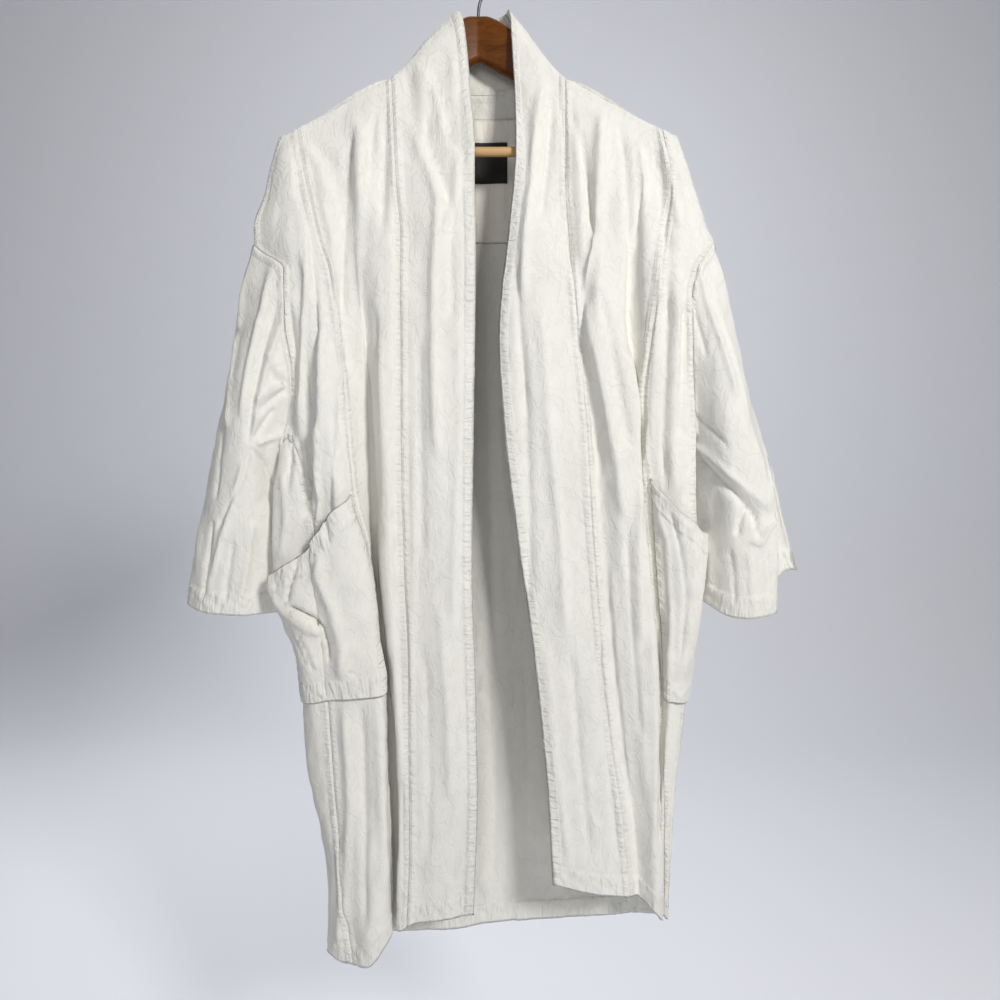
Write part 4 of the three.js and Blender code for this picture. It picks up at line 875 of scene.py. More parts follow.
def pulls(grid, sewn, closed, free_side):
    """How strongly stitching puckers each point, beside upright edges and beside level ones."""
    beside, level = np.zeros(grid.shape[:2]), np.zeros(grid.shape[:2])
    for edge, (axis, end) in EDGES.items():
        if closed and axis == 1:
            continue
        gap = from_edge(grid, axis, end)
        if axis == 1 and (edge in sewn or free_side):
            reach = 13 if edge not in sewn else 8
            beside = np.maximum(beside, clamp((reach - gap) / 3.5) * clamp(gap / 1.5 + 0.3))
        if axis == 0:
            reach = 9 if edge in sewn else 27
            level = np.maximum(level, clamp((reach - gap) / 4) * clamp(gap / 1.5 + 0.3))
    return {"beside": beside, "level": level}


def relief(name):
    """How far each point of a sewn sheet moves out: creases, crumple, seams and turned hems."""
    grid, _, closed, faces, sewn = SHEETS[name]
    normal = NORMALS[name]
    out = creased(grid, normal, faces) + crumple(grid) + bulged(grid)
    run = grid[..., 2] + 0.8 * grid[..., 0]
    pucker = np.sin(run / 2.1 + 2 * np.sin(run / 9.3)) * (0.6 + 0.4 * np.sin(run / 23))
    for edge, (axis, end) in EDGES.items():
        if closed and axis == 1:
            continue
        gap = from_edge(grid, axis, end)
        if edge in sewn.split():
            out += -0.45 * np.exp(-((gap / 1.8) ** 2)) + 0.2 * np.exp(-(((gap - 4.5) / 2.6) ** 2))
            beside = np.exp(-(((gap - 5) / 5) ** 2)) * (1 - np.exp(-((gap / 2) ** 2)))
            out += SEAM_PUCKER * pucker * beside
        elif axis == 0 and end:
            out += HEM_PUCKER * pucker * np.exp(-(((gap - 15) / 13) ** 2))
            out += -0.5 * np.exp(-(((gap - HEM_STITCH) / 2.4) ** 2))
        elif axis == 1 and "band" in name:
            out += SEAM_PUCKER * pucker * np.exp(-(((gap - 7) / 5) ** 2))
            out -= 0.35 * np.exp(-(((gap - 2.6) / 1.2) ** 2))
            out -= 0.35 * np.exp(-(((gap - 11) / 1.4) ** 2))
    # The cloth rests on the hanger's arms, so hollows are shallower there, clear of the wood.
    z = grid[..., 2]
    clear = clamp((CHEST - z) / 30) + clamp((-z + shoulder_z(grid[..., 0]) - 26) / 20)
    return np.where(out < 0, out * (0.25 + 0.75 * clamp(clear)), out)


def half_of(name):
    """Half the wall at each row, thicker where the hem or cuff is turned up."""
    grid, half, _, _, _ = SHEETS[name]
    if name == "neck_band":
        return np.full(grid.shape[:2], half)
    turned = clamp((HEM_TURN - from_edge(grid, 0, True)) / 2.5)
    return half + HEM_EXTRA / 2 * turned


def moved(name):
    """The middle of a finished sheet's wall, with its normals and half thicknesses."""
    grid = SHEETS[name][0] + NORMALS[name] * relief(name)[..., None]
    return grid, NORMALS[name], half_of(name)


def rim_loops(rows, columns, closed):
    """Grid indices along the wall's open edges, in the order that keeps faces outwards."""
    at = np.arange(rows * columns).reshape(rows, columns)
    if closed:
        return [np.append(at[0], at[0, 0]), np.append(at[-1, ::-1], at[-1, -1])]
    loop = np.concatenate([at[0, :-1], at[:-1, -1], at[-1, :0:-1], at[:0:-1, 0]])
    return [np.append(loop, loop[0])]


def wall(name, grid, normal, half, closed=False, sewn=""):
    """One piece of cloth: outer and inner faces, and a rim that is rounded but where it is sewn."""
    marks = pulls(grid, sewn, closed, "band" in name or "pocket" in name)
    rows, columns = grid.shape[:2]
    half = np.broadcast_to(half, (rows, columns))[..., None]
    outer, inner = grid + normal * half, grid - normal * half
    vertices = [outer.reshape(-1, 3), inner.reshape(-1, 3)]
    count = rows * columns
    at = np.arange(count).reshape(rows, columns)
    right = np.roll(at, -1, axis=1) if closed else at[:, 1:]
    left = at if closed else at[:, :-1]
    quads = np.stack([left[:-1], right[:-1], right[1:], left[1:]], axis=-1).reshape(-1, 4)
    faces = [quads, quads[:, ::-1] + count]
    away = unit(np.gradient(grid, axis=0)) if closed else None
    middle_start = 2 * count
    for loop in rim_loops(rows, columns, closed):
        ring = loop[:-1]
        place = grid.reshape(-1, 3)[ring]
        if closed:
            sign = -1 if ring[0] < columns else 1
            out = sign * away.reshape(-1, 3)[ring]
        else:
            run = np.roll(place, -1, axis=0) - np.roll(place, 1, axis=0)
            out = -unit(np.cross(unit(run), normal.reshape(-1, 3)[ring]))
        push = half.reshape(-1, 1)[ring] * RIM_ROUND
        vertices.append(place + out * push)
        mid = middle_start + np.arange(len(ring))
        nxt, mid_nxt = np.roll(ring, -1), np.roll(mid, -1)
        faces.append(np.stack([nxt, ring, mid, mid_nxt], axis=-1))
        faces.append(np.stack([mid_nxt, mid, ring + count, nxt + count], axis=-1))
        middle_start += len(ring)
    across = from_edge(grid, 1, False).mean(axis=0)
    down = from_edge(grid, 0, False).mean(axis=1)
    uv = np.stack(np.broadcast_arrays(across[None, :], down[:, None]), axis=-1).reshape(-1, 2)
    made = add_mesh(name, np.concatenate(vertices), np.concatenate(faces), uv, count)
    for mark, values in marks.items():
        both = np.zeros(len(made.data.vertices), np.float32)
        both[:2 * count] = np.tile(values.ravel(), 2)
        made.data.attributes.new(mark, "FLOAT", "POINT").data.foreach_set("value", both)
    flags = np.zeros((rows, columns), np.int32)
    flags[:, 0] += 1 * ("left" in sewn)
    flags[:, -1] += 2 * ("right" in sewn)
    flags[0] += 4 * ("top" in sewn)
    flags[-1] += 8 * ("foot" in sewn)
    flags = np.concatenate([flags.ravel(), flags.ravel(), np.zeros(middle_start - 2 * count, np.int32)])
    ends = np.zeros(2 * len(made.data.edges), np.int32)
    made.data.edges.foreach_get("vertices", ends)
    sharp = (flags[ends[::2]] & flags[ends[1::2]]) > 0
    made.data.attributes.new("sharp_edge", "BOOLEAN", "EDGE").data.foreach_set("value", sharp)
    return made


def add_mesh(name, vertices, faces, uv=None, count=0):
    """A smooth mesh object from millimetres, with its cloth coordinates as uv."""
    data = bpy.data.meshes.new(name)
    data.vertices.add(len(vertices))
    data.vertices.foreach_set("co", (vertices * METRES).astype(np.float32).ravel())
    data.loops.add(faces.size)
    data.loops.foreach_set("vertex_index", faces.astype(np.int32).ravel())
    data.polygons.add(len(faces))
    size = faces.shape[1]
    data.polygons.foreach_set("loop_start", np.arange(0, faces.size, size, dtype=np.int32))
    data.update(calc_edges=True)
    data.polygons.foreach_set("use_smooth", np.ones(len(faces), bool))
    if uv is not None:
        whole = np.zeros((len(vertices), 2))
        whole[:count], whole[count:2 * count] = uv, uv
        layer = data.uv_layers.new(name="cloth")
        layer.data.foreach_set("uv", (whole[faces.ravel()] * METRES).astype(np.float32).ravel())
    made = bpy.data.objects.new(name, data)
    bpy.context.scene.collection.objects.link(made)
    return made


# Materials. Maths on shader values is written as maths.
class Value:
    """A number or colour inside a material. Arithmetic on it adds maths nodes."""

    def __init__(self, tree, socket):
        self.tree, self.socket = tree, socket

    def maths(self, operation, *inputs):
        node = self.tree.nodes.new("ShaderNodeMath")
        node.operation = operation
        for i, value in enumerate(inputs):
            if isinstance(value, Value):
                self.tree.links.new(value.socket, node.inputs[i])
            else:
                node.inputs[i].default_value = value
        return Value(self.tree, node.outputs[0])

    def __add__(self, other):
        return self.maths("ADD", self, other)

    def __sub__(self, other):
        return self.maths("SUBTRACT", self, other)

    def __mul__(self, other):
        return self.maths("MULTIPLY", self, other)

    def __rsub__(self, other):
        return self.maths("SUBTRACT", other, self)

    __radd__ = __add__
    __rmul__ = __mul__

    def node(self, kind, output=0, settings=None, **inputs):
        """Any other node. Inputs are given by their names, with spaces as underscores."""
        node = self.tree.nodes.new(kind)
        for key, value in (settings or {}).items():
            setattr(node, key, value)
        for key, value in inputs.items():
            socket = node.inputs[key.replace("_", " ")]
            if isinstance(value, Value):
                self.tree.links.new(value.socket, socket)
            else:
                socket.default_value = value
        return Value(self.tree, node.outputs[output])


def material(name, rough, **constants):
    """A new material, its principled shader, and the cloth and object coordinates."""
    made = bpy.data.materials.new(name)
    made.use_nodes = True
    tree = made.node_tree
    shader = tree.nodes["Principled BSDF"]
    shader.inputs["Roughness"].default_value = rough
    for key, value in constants.items():
        shader.inputs[key.replace("_", " ")].default_value = value
    place = tree.nodes.new("ShaderNodeTexCoord")
    return made, shader, Value(tree, place.outputs["UV"]), Value(tree, place.outputs["Object"])


def feed(shader, name, value):
    value.tree.links.new(value.socket, shader.inputs[name])


def mapped(place, scale, turn=(0, 0, 0)):
    return place.node("ShaderNodeMapping", Vector=place, Scale=scale, Rotation=turn)


def noise(place, scale, detail=3.0, rough=0.55, distortion=0.0):
    return place.node(
        "ShaderNodeTexNoise", Vector=place, Scale=scale, Detail=detail, Roughness=rough,
        Distortion=distortion,
    )


def between(value, low, high):
    """0 below low, 1 above high and smooth between them."""
    return value.node(
        "ShaderNodeMapRange", settings={"interpolation_type": "SMOOTHSTEP"},
        Value=value, From_Min=low, From_Max=high,
    )


def blend(share, first, second):
    node = share.tree.nodes.new("ShaderNodeMix")
    node.data_type = "RGBA"
    share.tree.links.new(share.socket, node.inputs[0])
    for socket, colour in ((node.inputs[6], first), (node.inputs[7], second)):
        if isinstance(colour, Value):
            share.tree.links.new(colour.socket, socket)
        else:
            socket.default_value = (*colour, 1)
    return Value(share.tree, node.outputs[2])


def bump(height, distance, strength=1.0):
    return height.node("ShaderNodeBump", Height=height, Distance=distance, Strength=strength)


def mark(place, name):
    """The value of a mark on the mesh."""
    return place.node("ShaderNodeAttribute", 2, {"attribute_name": name})


def cloth_material(name, pale, deep, weave, wrinkle):
    """Woven cotton: slubbed threads, a washed crinkle with painted shade in its fine grooves, and a
    faint uneven tint.
    """
    made, shader, uv, place = material(name, 0.93, Sheen_Weight=0.12, Sheen_Roughness=0.6)
    threads = noise(mapped(uv, (1400, 90, 1)), 1, 2) + noise(mapped(uv, (90, 1400, 1)), 1, 2)
    slub = noise(mapped(uv, (420, 26, 1)), 1, 3)
    crinkle = noise(mapped(place, (70, 70, 42)), 1, 4, 0.6, 0.7)
    # The crinkle's fine grooves: they sink the bump, and they darken the colour as painted shade.
    crinkle_grooves_and_shade = 1 - between(crinkle.maths("ABSOLUTE", crinkle - 0.5), 0.0, 0.055)
    fine = noise(mapped(place, (260, 260, 130)), 1, 3, 0.6, 0.4)
    tint = noise(mapped(place, (7, 7, 4)), 1, 3)
    ladder = mark(place, "beside") * noise(mapped(uv, (55, 235, 1)), 1, 1, 0.4, 0.5)
    pleats = mark(place, "level") * noise(mapped(uv, (150, 38, 1)), 1, 1, 0.4, 0.6)
    # The colour: a random tint and the slubs, with painted shade where the crinkle's grooves are.
    share = between(tint, 0.3, 0.75) * 0.55 + slub * 0.25 + crinkle_grooves_and_shade * 0.2
    feed(shader, "Base Color", blend(share, pale, deep))
    height = threads * (0.13 * weave) + slub * 0.08 + fine * (0.4 * wrinkle)
    height = height - crinkle_grooves_and_shade * (0.3 * wrinkle) + crinkle * (1.2 * wrinkle)
    height = height + ladder * (3.8 * wrinkle) + pleats * (3.4 * wrinkle)
    feed(shader, "Normal", bump(height, 0.0013, 0.7))
    return made


# The deeper colour serves the uneven tint and the slubs, and is also painted shade in the crinkle's
# grooves.
CREAM = cloth_material("coat cloth", (0.83, 0.82, 0.765), (0.775, 0.755, 0.69), 1.0, 1.0)
LINING = cloth_material("lining cloth", (0.92, 0.885, 0.81), (0.87, 0.83, 0.745), 0.6, 0.6)
PATCH = cloth_material("label cloth", (0.016, 0.014, 0.013), (0.022, 0.02, 0.018), 1.0, 0.3)
THREAD = cloth_material("thread", (0.86, 0.84, 0.78), (0.8, 0.77, 0.7), 0.0, 0.0)


def finish(piece, look, slot, *nodes):
    """Gives a piece its material and its body, and hides the imported nodes that it stands for; the slot
    is not used.
    """
    piece.data.materials.append(look)
    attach(piece, "root")
    if nodes:
        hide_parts(*nodes)
    return piece


# The sewn cloth: bands, panels, neck band and sleeves.
PLACED = {name: moved(name) for name in SHEETS}
for name, (grid, normal, half) in PLACED.items():
    finish(
        wall(name.replace("_", "-"), grid, normal, half, SHEETS[name][2], SHEETS[name][4]),
        CREAM, "coat_cloth", name,
    )


# Patch pockets over the side seams. Each takes its points from the panels under it.
POCKET_ROWS = 110
POCKET_GAP = 0.9
MOUTH_LEVEL = -650.0


def columns_at(coarse_cells, cells, columns):
    """Columns of a fine grid, from columns counted in a coarser number of cells a span."""
    coarse, fine = np.cumsum([0, *coarse_cells]), np.cumsum([0, *cells])
    return np.interp(columns, coarse, fine)


def sample(grid, row, column):
    """Values of a grid at fractional rows and columns."""
    r = np.clip(np.floor(row).astype(int), 0, grid.shape[0] - 2)
    c = np.clip(np.floor(column).astype(int), 0, grid.shape[1] - 2)
    v, u = row - r, column - c
    if grid.ndim == 3:
        v, u = v[..., None], u[..., None]
    top = mix(grid[r, c], grid[r, c + 1], u)
    low = mix(grid[r + 1, c], grid[r + 1, c + 1], u)
    return mix(top, low, v)


def row_at(level):
    return np.interp(-level, -LEVELS, np.arange(len(LEVELS)))


def joined_side(front_name, back_name, left):
    """The side front and side back as one grid, from the long seam round to the back seam."""
    parts = []
    for part in range(3):
        front, rear = PLACED[front_name][part], PLACED[back_name][part]
        if part == 2:
            front = np.broadcast_to(front, PLACED[front_name][0].shape[:2])
            rear = np.broadcast_to(rear, PLACED[back_name][0].shape[:2])
        if left:
            front, rear = front[:, ::-1], rear[:, ::-1]
        parts.append(np.concatenate([front, rear[:, 1:]], axis=1))
    return parts


def pocket(name, base, coarse, fine, from_to, mouth, rise, foot, belly, gape, left):
    """One pocket's middle surface, from its slanted mouth down to its lower edge."""
    grid, normal, _ = base
    low, high = columns_at(coarse, fine, from_to)
    columns = np.linspace(low, high, round((high - low) * 1.8))
    u = np.linspace(0, 1, len(columns))[None, :]
    v = np.linspace(0, 1, POCKET_ROWS + 1)[:, None]
    across = sample(grid, row_at(np.full(len(columns), MOUTH_LEVEL)), columns)[:, 0][None, :]
    reach = np.cumsum(np.abs(np.diff(across, axis=1, prepend=across[:, :1])), axis=1)
    t = reach / reach[:, -1:]
    edge = mix(mouth[0], mouth[1], t) + rise * np.sin(math.pi * t)
    level = mix(edge, mix(foot[0], foot[1], t), v)
    row, column = row_at(level), np.broadcast_to(columns[None, :], level.shape)
    lift = np.sin(math.pi * u) ** 0.8 * (belly * np.sin(math.pi * v) + gape * (1 - v) ** 1.5)
    place = sample(grid, row, column)
    away = unit(sample(normal, row, column))
    place = place + away * (CLOTH + POCKET_GAP + lift)[..., None]
    if left:
        place = place[:, ::-1]
    normal = normals_of(place)
    gap_side = np.minimum(from_edge(place, 1, False), from_edge(place, 1, True))
    gap = np.minimum(gap_side, from_edge(place, 0, True))
    mouth_gap = from_edge(place, 0, False)
    run = place[..., 2] + 0.9 * place[..., 0]
    pucker = np.sin(run / 2.1 + 2 * np.sin(run / 9.3))
    out = creased(place, normal, [name]) * clamp(gap / 9) + crumple(place + 40) * clamp(gap / 12)
    beside = np.exp(-(((gap - 5) / 4) ** 2)) + np.exp(-(((mouth_gap - 9) / 7) ** 2))
    out += SEAM_PUCKER * pucker * beside
    place = place + normal * np.maximum(out, -1.2 - lift * 0.6)[..., None]
    return place, normals_of(place), CLOTH / 2


side_base_r = joined_side("side_front_right", "side_back_right", False)
side_base_l = joined_side("side_front_left", "side_back_left", True)
PLACED["pocket_right"] = pocket(
    "right pocket", side_base_r, [2, 2, 3, 2, 2, 2, 2], [*side_cells_r, *back_cells[:4]],
    (0.6, 11), (-604, -697), -4, (-836, -850), 7, 18, False,
)
PLACED["pocket_left"] = pocket(
    "left pocket", side_base_l, [2, 2, 2, 2, 2, 2, 2], [*side_cells_l, *back_cells[:-5:-1]],
    (0.6, 10), (-587, -669), 0, (-846, -856), 4, 11, True,
)
for name in ("pocket_right", "pocket_left"):
    finish(wall(name.replace("_", "-"), *PLACED[name]), CREAM, "coat_cloth", name)


# The lining inside the back of the yoke, and the plain label on it.
LINING_DEPTH = (CLOTH + LINING_CLOTH) / 2 + 0.5
CENTRE_COARSE = [2, 2, 2, 3, 3, 2, 2, 2]
back_base = PLACED["back_centre"]


def inside_back(from_to, levels, columns, rows, depth, soft):
    """A surface that hangs inside the back between two columns and two levels."""
    low, high = columns_at(CENTRE_COARSE, back_cells[4:-4], from_to)
    column = np.broadcast_to(np.linspace(low, high, columns), (rows, columns))
    row = np.broadcast_to(row_at(np.linspace(*levels, rows))[:, None], (rows, columns))
    place = sample(back_base[0], row, column)
    away = unit(sample(back_base[1], row, column))
    place = place - away * (depth + soft * np.abs(crumple(place * 1.7)))[..., None]
    return place, normals_of(place), LINING_CLOTH / 2


PLACED["yoke_lining"] = inside_back((2, 16), (-220, -309), 90, 46, LINING_DEPTH, 0.5)
finish(
    wall("yoke-lining", *PLACED["yoke_lining"]), LINING, "lining_cloth", "yoke_lining"
)
LABEL_DEPTH = LINING_DEPTH + LINING_CLOTH + 0.9
PLACED["label"] = inside_back((7.3, 10.9), (-232, -252.5), 24, 18, LABEL_DEPTH, 0.2)
finish(wall("plain-label", *PLACED["label"]), PATCH, "label_cloth", "label")


# Stitching: rows of short raised threads, each row at its own distance from an edge.
STITCH = 3.1
STITCH_GAP = 0.75
THREAD_WIDE = 0.46

STITCHES = [
    # piece, edge, distances from it, side of the cloth
    ("band_right", "left", (2.4, 10.8), 1),
    ("band_right", "foot", (25,), 1),
    ("front_right", "left", (2,), 1),
    ("front_right", "right", (2, 7.5), 1),
    ("front_right", "foot", (25,), 1),
    ("side_front_right", "foot", (25,), 1),
    ("side_front_right", "right", (2,), 1),
    ("side_back_right", "foot", (25,), 1),
    ("back_centre", "left", (2, 7.5), 1),
    ("back_centre", "right", (2, 7.5), 1),
    ("back_centre", "foot", (25,), 1),
    ("back_centre", "foot", (25,), -1),
    ("side_back_left", "foot", (25,), 1),
    ("side_front_left", "foot", (25,), 1),
    ("side_front_left", "left", (2,), 1),
    ("front_left", "left", (2, 7.5), 1),
    ("front_left", "right", (2,), 1),
    ("front_left", "foot", (25,), 1),
    ("band_left", "right", (2.4, 10.8), 1),
    ("band_left", "foot", (25,), 1),
    ("neck_band", "top", (2.4, 10.8), 1),
    ("neck_band", "top", (2.4, 10.8), -1),
    ("neck_band", "foot", (2.4,), -1),
    ("sleeve_right", "top", (2.4, 8), 1),
    ("sleeve_right", "foot", (24,), 1),
    ("sleeve_left", "top", (2.4, 8), 1),
    ("sleeve_left", "foot", (24,), 1),
    ("pocket_right", "left", (2, 7), 1),
    ("pocket_right", "right", (2, 7), 1),
    ("pocket_right", "foot", (2, 7), 1),
    ("pocket_right", "top", (2, 15), 1),
    ("pocket_left", "left", (2, 7), 1),
    ("pocket_left", "right", (2, 7), 1),
    ("pocket_left", "foot", (2, 7), 1),
    ("pocket_left", "top", (2, 12), 1),
    ("yoke_lining", "foot", (2.5,), -1),
    ("yoke_lining", "top", (2.5,), -1),
    ("yoke_lining", "right", (71, 83), -1),
]


def row_of_stitches(name, edge, distance, side):
    """The path of one stitched row on the cloth's face, with the face's normals."""
    grid, normal, half = PLACED[name]
    half = np.broadcast_to(half, grid.shape[:2])
    axis, end = EDGES[edge]
    closed = name.startswith("sleeve")
    if axis == 0:
        grid, normal, half = grid.swapaxes(0, 1), normal.swapaxes(0, 1), half.swapaxes(0, 1)
    if end:
        grid, normal, half = grid[:, ::-1], normal[:, ::-1], half[:, ::-1]
    run = from_edge(grid, 1, False)
    inside = (run < distance).sum(axis=1) - 1
    inside = np.clip(inside, 0, run.shape[1] - 2)
    lines_at = np.arange(len(run))
    start, stop = run[lines_at, inside], run[lines_at, inside + 1]
    share = ((distance - start) / np.maximum(stop - start, 1e-6))[:, None]
    place = mix(grid[lines_at, inside], grid[lines_at, inside + 1], share)
    away = unit(mix(normal[lines_at, inside], normal[lines_at, inside + 1], share)) * side
    thick = mix(half[lines_at, inside], half[lines_at, inside + 1], share[:, 0])[:, None]
    path = place + away * (thick + 0.02)
    if closed:
        return np.concatenate([path, path[:1]]), np.concatenate([away, away[:1]])
    return path, away


def threads(path, away):
    """The vertices of every stitch along a path, three rings of four points each."""
    runs = np.linalg.norm(np.diff(path, axis=0), axis=1)
    run = np.concatenate([[0], np.cumsum(runs)])
    starts = np.arange(1.2, run[-1] - STITCH, STITCH)
    if len(starts) == 0:
        return np.zeros((0, 12, 3))
    at = starts[:, None] + np.array([0, 0.5, 1]) * (STITCH - STITCH_GAP)
    place = np.stack([np.interp(at, run, path[:, k]) for k in range(3)], axis=-1)
    up = unit(np.stack([np.interp(at, run, away[:, k]) for k in range(3)], axis=-1))
    way = unit(place[:, 2:] - place[:, :1])
    side = unit(np.cross(way, up))
    wide = THREAD_WIDE * np.array([0.55, 1, 0.55])[None, :, None]
    rise = np.array([-0.22, 0.16, -0.22])[None, :, None]
    middle = place + up * rise
    ring = [middle + side * wide, middle + up * wide * 0.8, middle - side * wide, middle - up * wide]
    return np.stack(ring, axis=2).reshape(len(starts), 12, 3)


THREAD_FACES = np.array(
    [[k, (k + 1) % 4, 4 + (k + 1) % 4, 4 + k] for k in range(4)]
    + [[4 + k, 4 + (k + 1) % 4, 8 + (k + 1) % 4, 8 + k] for k in range(4)]
    + [[3, 2, 1, 0], [8, 9, 10, 11]]
)
STITCHING = {}
for group in sorted({row[0] for row in STITCHES}):
    found = [
        threads(*row_of_stitches(name, edge, distance, side))
        for name, edge, distances, side in STITCHES if name == group
        for distance in distances
    ]
    rings = np.concatenate(found)
    faces = THREAD_FACES[None] + 12 * np.arange(len(rings))[:, None, None]
    made = add_mesh(group.replace("_", "-") + "-stitching", rings.reshape(-1, 3), faces.reshape(-1, 4))
    look_slot = "lining_cloth" if group == "yoke_lining" else "coat_cloth"
    STITCHING[group] = finish(made, THREAD, look_slot)


# Every piece of cloth in a table whose values are not used. Its width, length and area are net sizes,
# run along the finished cloth and its creases, without turnings. The coat hangs from the hanger's arms,
# and the pockets, the lining and the label are sewn on it.
CUTS = [
    # piece, width, length, area, what holds it
    ("band_right", 0.114, 1.063, 0.0887, "front_right"),
    ("front_right", 0.127, 0.994, 0.0907, "hanger_wood"),
    ("side_front_right", 0.111, 1.011, 0.0743, "front_right"),
    ("side_back_right", 0.165, 1.021, 0.0975, "back_centre"),
    ("back_centre", 0.468, 1.051, 0.3706, "hanger_wood"),
    ("side_back_left", 0.108, 0.961, 0.0797, "back_centre"),
    ("side_front_left", 0.075, 0.942, 0.0399, "front_left"),
    ("front_left", 0.142, 0.965, 0.1003, "hanger_wood"),
    ("band_left", 0.107, 1.03, 0.0821, "front_left"),
    ("neck_band", 0.217, 0.114, 0.0137, "back_centre"),
    ("sleeve_right", 0.468, 0.422, 0.0875, "side_front_right"),
    ("sleeve_left", 0.447, 0.399, 0.091, "side_front_left"),
    ("pocket_right", 0.179, 0.237, 0.0286, "side_front_right"),
    ("pocket_left", 0.156, 0.261, 0.023, "side_front_left"),
    ("yoke_lining", 0.213, 0.158, 0.0289, "back_centre"),
    ("label", 0.062, 0.047, 0.0029, "yoke_lining"),
]
for name, width, length, cut_area, holder in CUTS:
    [STITCHING[name]] if name in STITCHING else []


# The hanger: a varnished wooden shape, a pale bar and a dark wire hook.
WOOD_SHAPE = np.array([
    # distance from the middle, top, half thickness
    [0, -58, 6.5],
    [9, -58.6, 6.5],
    [18, -62, 6.5],
    [28, -68, 6.5],
    [42, -81, 6.5],
    [56, -97, 6.5],
    [70, -115, 6.5],
    [83, -128.4, 6.5],
    [110, -144.6, 6.5],
    [150, -168.6, 6.5],
    [186, -190.2, 6.5],
    [201, -199.4, 6.2],
    [207, -203.6, 5],
    [210, -209, 2.6],
])
WOOD_UNDER = -107.5
UNDER_SLOPE = 0.58
BAR = 5.3
BAR_END = 3.2
BAR_REACH = 192.0
BAR_Y = -34.5
BAR_Z = -220.4
WIRE = 1.7
CURL = 17.0


def tube(name, sections):
    """A closed tube through sections of the same number of points, with flat ends."""
    count, around = sections.shape[:2]
    at = np.arange(count * around).reshape(count, around)
    right = np.roll(at, -1, axis=1)
    faces = np.stack([at[:-1], at[1:], right[1:], right[:-1]], axis=-1).reshape(-1, 4)
    ends = np.array([sections[0].mean(axis=0), sections[-1].mean(axis=0)])
    first, last = np.full(around, count * around), np.full(around, count * around + 1)
    triangles = np.concatenate([
        faces[:, [0, 1, 2]],
        faces[:, [0, 2, 3]],
        np.stack([right[0], first, at[0]], axis=-1),
        np.stack([at[-1], last, right[-1]], axis=-1),
    ])
    return add_mesh(name, np.concatenate([sections.reshape(-1, 3), ends]), triangles)


wood_x = np.concatenate([spaced(0, 100, 2), spaced(100, 196, 4), np.linspace(196, 210, 15)])
wood_x = np.concatenate([-wood_x[:0:-1], wood_x])
beyond = np.maximum(np.abs(wood_x) - 200, 0)
wood_top = along(-WOOD_SHAPE[:, 0], WOOD_SHAPE[:, 1])(-np.abs(wood_x))
wood_half = along(-WOOD_SHAPE[:, 0], WOOD_SHAPE[:, 2])(-np.abs(wood_x))
wood_low = WOOD_UNDER - UNDER_SLOPE * np.abs(wood_x) + 0.06 * beyond**2
turn = np.linspace(0, math.pi, 15)[None, :]
half_col, x_col = wood_half[:, None], wood_x[:, None] + 0 * turn
over = np.stack([
    x_col,
    arm_y(x_col) - half_col * np.cos(turn),
    wood_top[:, None] - half_col * (1 - np.sin(turn)),
], axis=-1)
under = np.stack([
    x_col,
    arm_y(x_col) + half_col * np.cos(turn),
    wood_low[:, None] + half_col * (1 - np.sin(turn)),
], axis=-1)
wood = tube("hanger-wood", np.concatenate([over, under], axis=1))

angles = np.linspace(0, 2 * math.pi, 25)[:-1]
bar_x = np.array([-BAR_REACH, -184.7, -184.6, 184.6, 184.7, BAR_REACH])
bar_r = np.array([BAR_END, BAR_END, BAR, BAR, BAR_END, BAR_END])
bar = tube("hanger-bar", np.stack([
    bar_x[:, None] + 0 * angles[None, :],
    BAR_Y - bar_r[:, None] * np.sin(angles)[None, :],
    BAR_Z + bar_r[:, None] * np.cos(angles)[None, :],
], axis=-1))

hook_angles = np.radians(np.linspace(-48, 205, 70))
stem = np.array([[0, -77], [0, -70], [0, -60], [0.1, -54], [0.6, -48], [1.7, -43], [3.6, -38.2]])
curl = np.stack([CURL * np.cos(hook_angles), WIRE - CURL + CURL * np.sin(hook_angles)], axis=-1)
hook_path = np.concatenate([stem, curl[1:]])
way = unit(np.gradient(hook_path, axis=0))
hook_out = WIRE * np.cos(angles)[None, :, None]
hook_side = -WIRE * np.sin(angles)[None, :, None]
hook = tube("hanger-hook", np.concatenate([
    hook_path[:, None, :1] + hook_out * way[:, None, 1:],
    np.broadcast_to(hook_side, (len(hook_path), len(angles), 1)),
    hook_path[:, None, 1:] - hook_out * way[:, None, :1],
], axis=-1))

varnished, shader, _, place = material(
    "varnished wood", 0.42, Coat_Weight=0.06, Coat_Roughness=0.2, Specular_IOR_Level=0.2
)
grain = noise(mapped(place, (10, 160, 90)), 1, 5, 0.6, 1.2)
pores = noise(mapped(place, (70, 900, 500)), 1, 2)
share = between(grain, 0.3, 0.7) * 0.8 + between(pores, 0.55, 0.7) * 0.2
feed(shader, "Base Color", blend(share, (0.15, 0.045, 0.003), (0.06, 0.015, 0.001)))
feed(shader, "Normal", bump(pores, 0.0003, 0.4))
finish(wood, varnished, "hanger_wood", "hanger_wood")

plain_wood, shader, _, place = material("pale wood", 0.5, Coat_Weight=0.15)
grain = noise(mapped(place, (8, 200, 200)), 1, 4, 0.6, 0.6)
feed(shader, "Base Color", blend(grain, (0.66, 0.42, 0.19), (0.5, 0.28, 0.11)))
finish(bar, plain_wood, "hanger_bar", "hanger_bar")

dark_steel, shader, _, place = material("dark steel", 0.38, Metallic=1.0)
feed(shader, "Base Color", blend(noise(place, 60), (0.1, 0.095, 0.09), (0.17, 0.16, 0.15)))
finish(hook, dark_steel, "hook_steel", "hanger_hook")


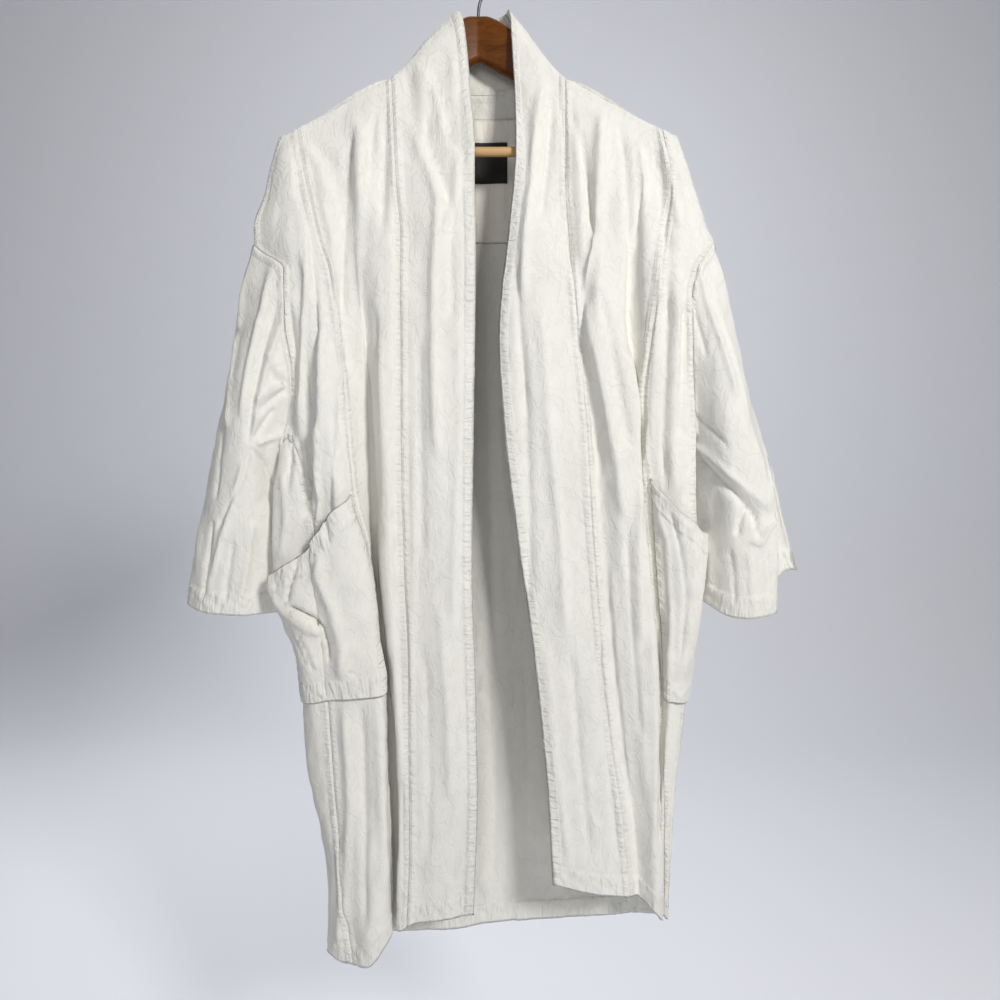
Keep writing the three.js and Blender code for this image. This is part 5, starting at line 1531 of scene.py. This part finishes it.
# Stage, light and camera.
FLOOR_LEVEL = -1650.0
SWEEP_START = 1800.0
SWEEP = 900.0
BACKDROP_TOP = 3000.0
sweep_angles = np.linspace(0.1, math.pi / 2, 14)
floor_y = np.concatenate([[-4000, 0, SWEEP_START], SWEEP_START + SWEEP * np.sin(sweep_angles)])
floor_z = np.concatenate([[0, 0, 0], SWEEP * (1 - np.cos(sweep_angles))]) + FLOOR_LEVEL
floor_y, floor_z = np.append(floor_y, SWEEP_START + SWEEP), np.append(floor_z, BACKDROP_TOP)
floor_x = np.array([-5000.0, 5000.0])
stage_points = np.stack([
    np.broadcast_to(floor_x[None, :], (len(floor_y), 2)),
    np.broadcast_to(floor_y[:, None], (len(floor_y), 2)),
    np.broadcast_to(floor_z[:, None], (len(floor_y), 2)),
], axis=-1)
at = np.arange(2 * len(floor_y)).reshape(-1, 2)
stage_faces = np.stack([at[:-1, 0], at[:-1, 1], at[1:, 1], at[1:, 0]], axis=-1)
floor = add_mesh("floor", stage_points.reshape(-1, 3), stage_faces)
pale, shader, _, _ = material("pale floor", 0.9)
shader.inputs["Base Color"].default_value = (0.88, 0.89, 0.93, 1)
floor.data.materials.append(pale)

LAMPS = [
    # name, place, aim, size, watts, colour
    ("key", (1.15, -1.85, 0.5), (0.02, 0, -0.6), 0.45, 40, (1.0, 0.99, 0.965)),
    ("fill", (-0.3, -2.4, 0.1), (0, 0, -0.6), 1.0, 9, (0.98, 0.985, 1.0)),
    ("back", (-1.3, 1.8, 0.5), (0, 0, -0.6), 0.7, 25, (0.97, 0.98, 1.0)),
    ("backdrop", (0.0, 0.5, 1.1), (0, 2.6, -0.4), 1.6, 16, (0.97, 0.98, 1.0)),
]
for name, where, aim, size, watts, colour in LAMPS:
    data = bpy.data.lights.new(name, "AREA")
    data.size, data.energy, data.color = size, watts, colour
    lamp = bpy.data.objects.new(name, data)
    lamp.location = where
    toward = np.array(aim) - np.array(where)
    flat = math.hypot(toward[0], toward[1])
    lamp.rotation_euler = (math.atan2(flat, -toward[2]), 0, math.atan2(-toward[0], toward[1]))
    bpy.context.scene.collection.objects.link(lamp)

world = bpy.data.worlds.new("studio")
world.use_nodes = True
world.node_tree.nodes["Background"].inputs["Color"].default_value = (0.86, 0.88, 0.93, 1)
world.node_tree.nodes["Background"].inputs["Strength"].default_value = 0.2
bpy.context.scene.world = world
bpy.context.scene.view_settings.view_transform = "Standard"

camera_data = bpy.data.cameras.new("camera")
camera_data.lens = 28.8
camera_data.sensor_width = 36
camera = bpy.data.objects.new("camera", camera_data)
camera.location = (0.025, -0.962, -0.54)
camera.rotation_euler = (math.radians(85.5), 0, 0)
bpy.context.scene.collection.objects.link(camera)
bpy.context.scene.camera = camera
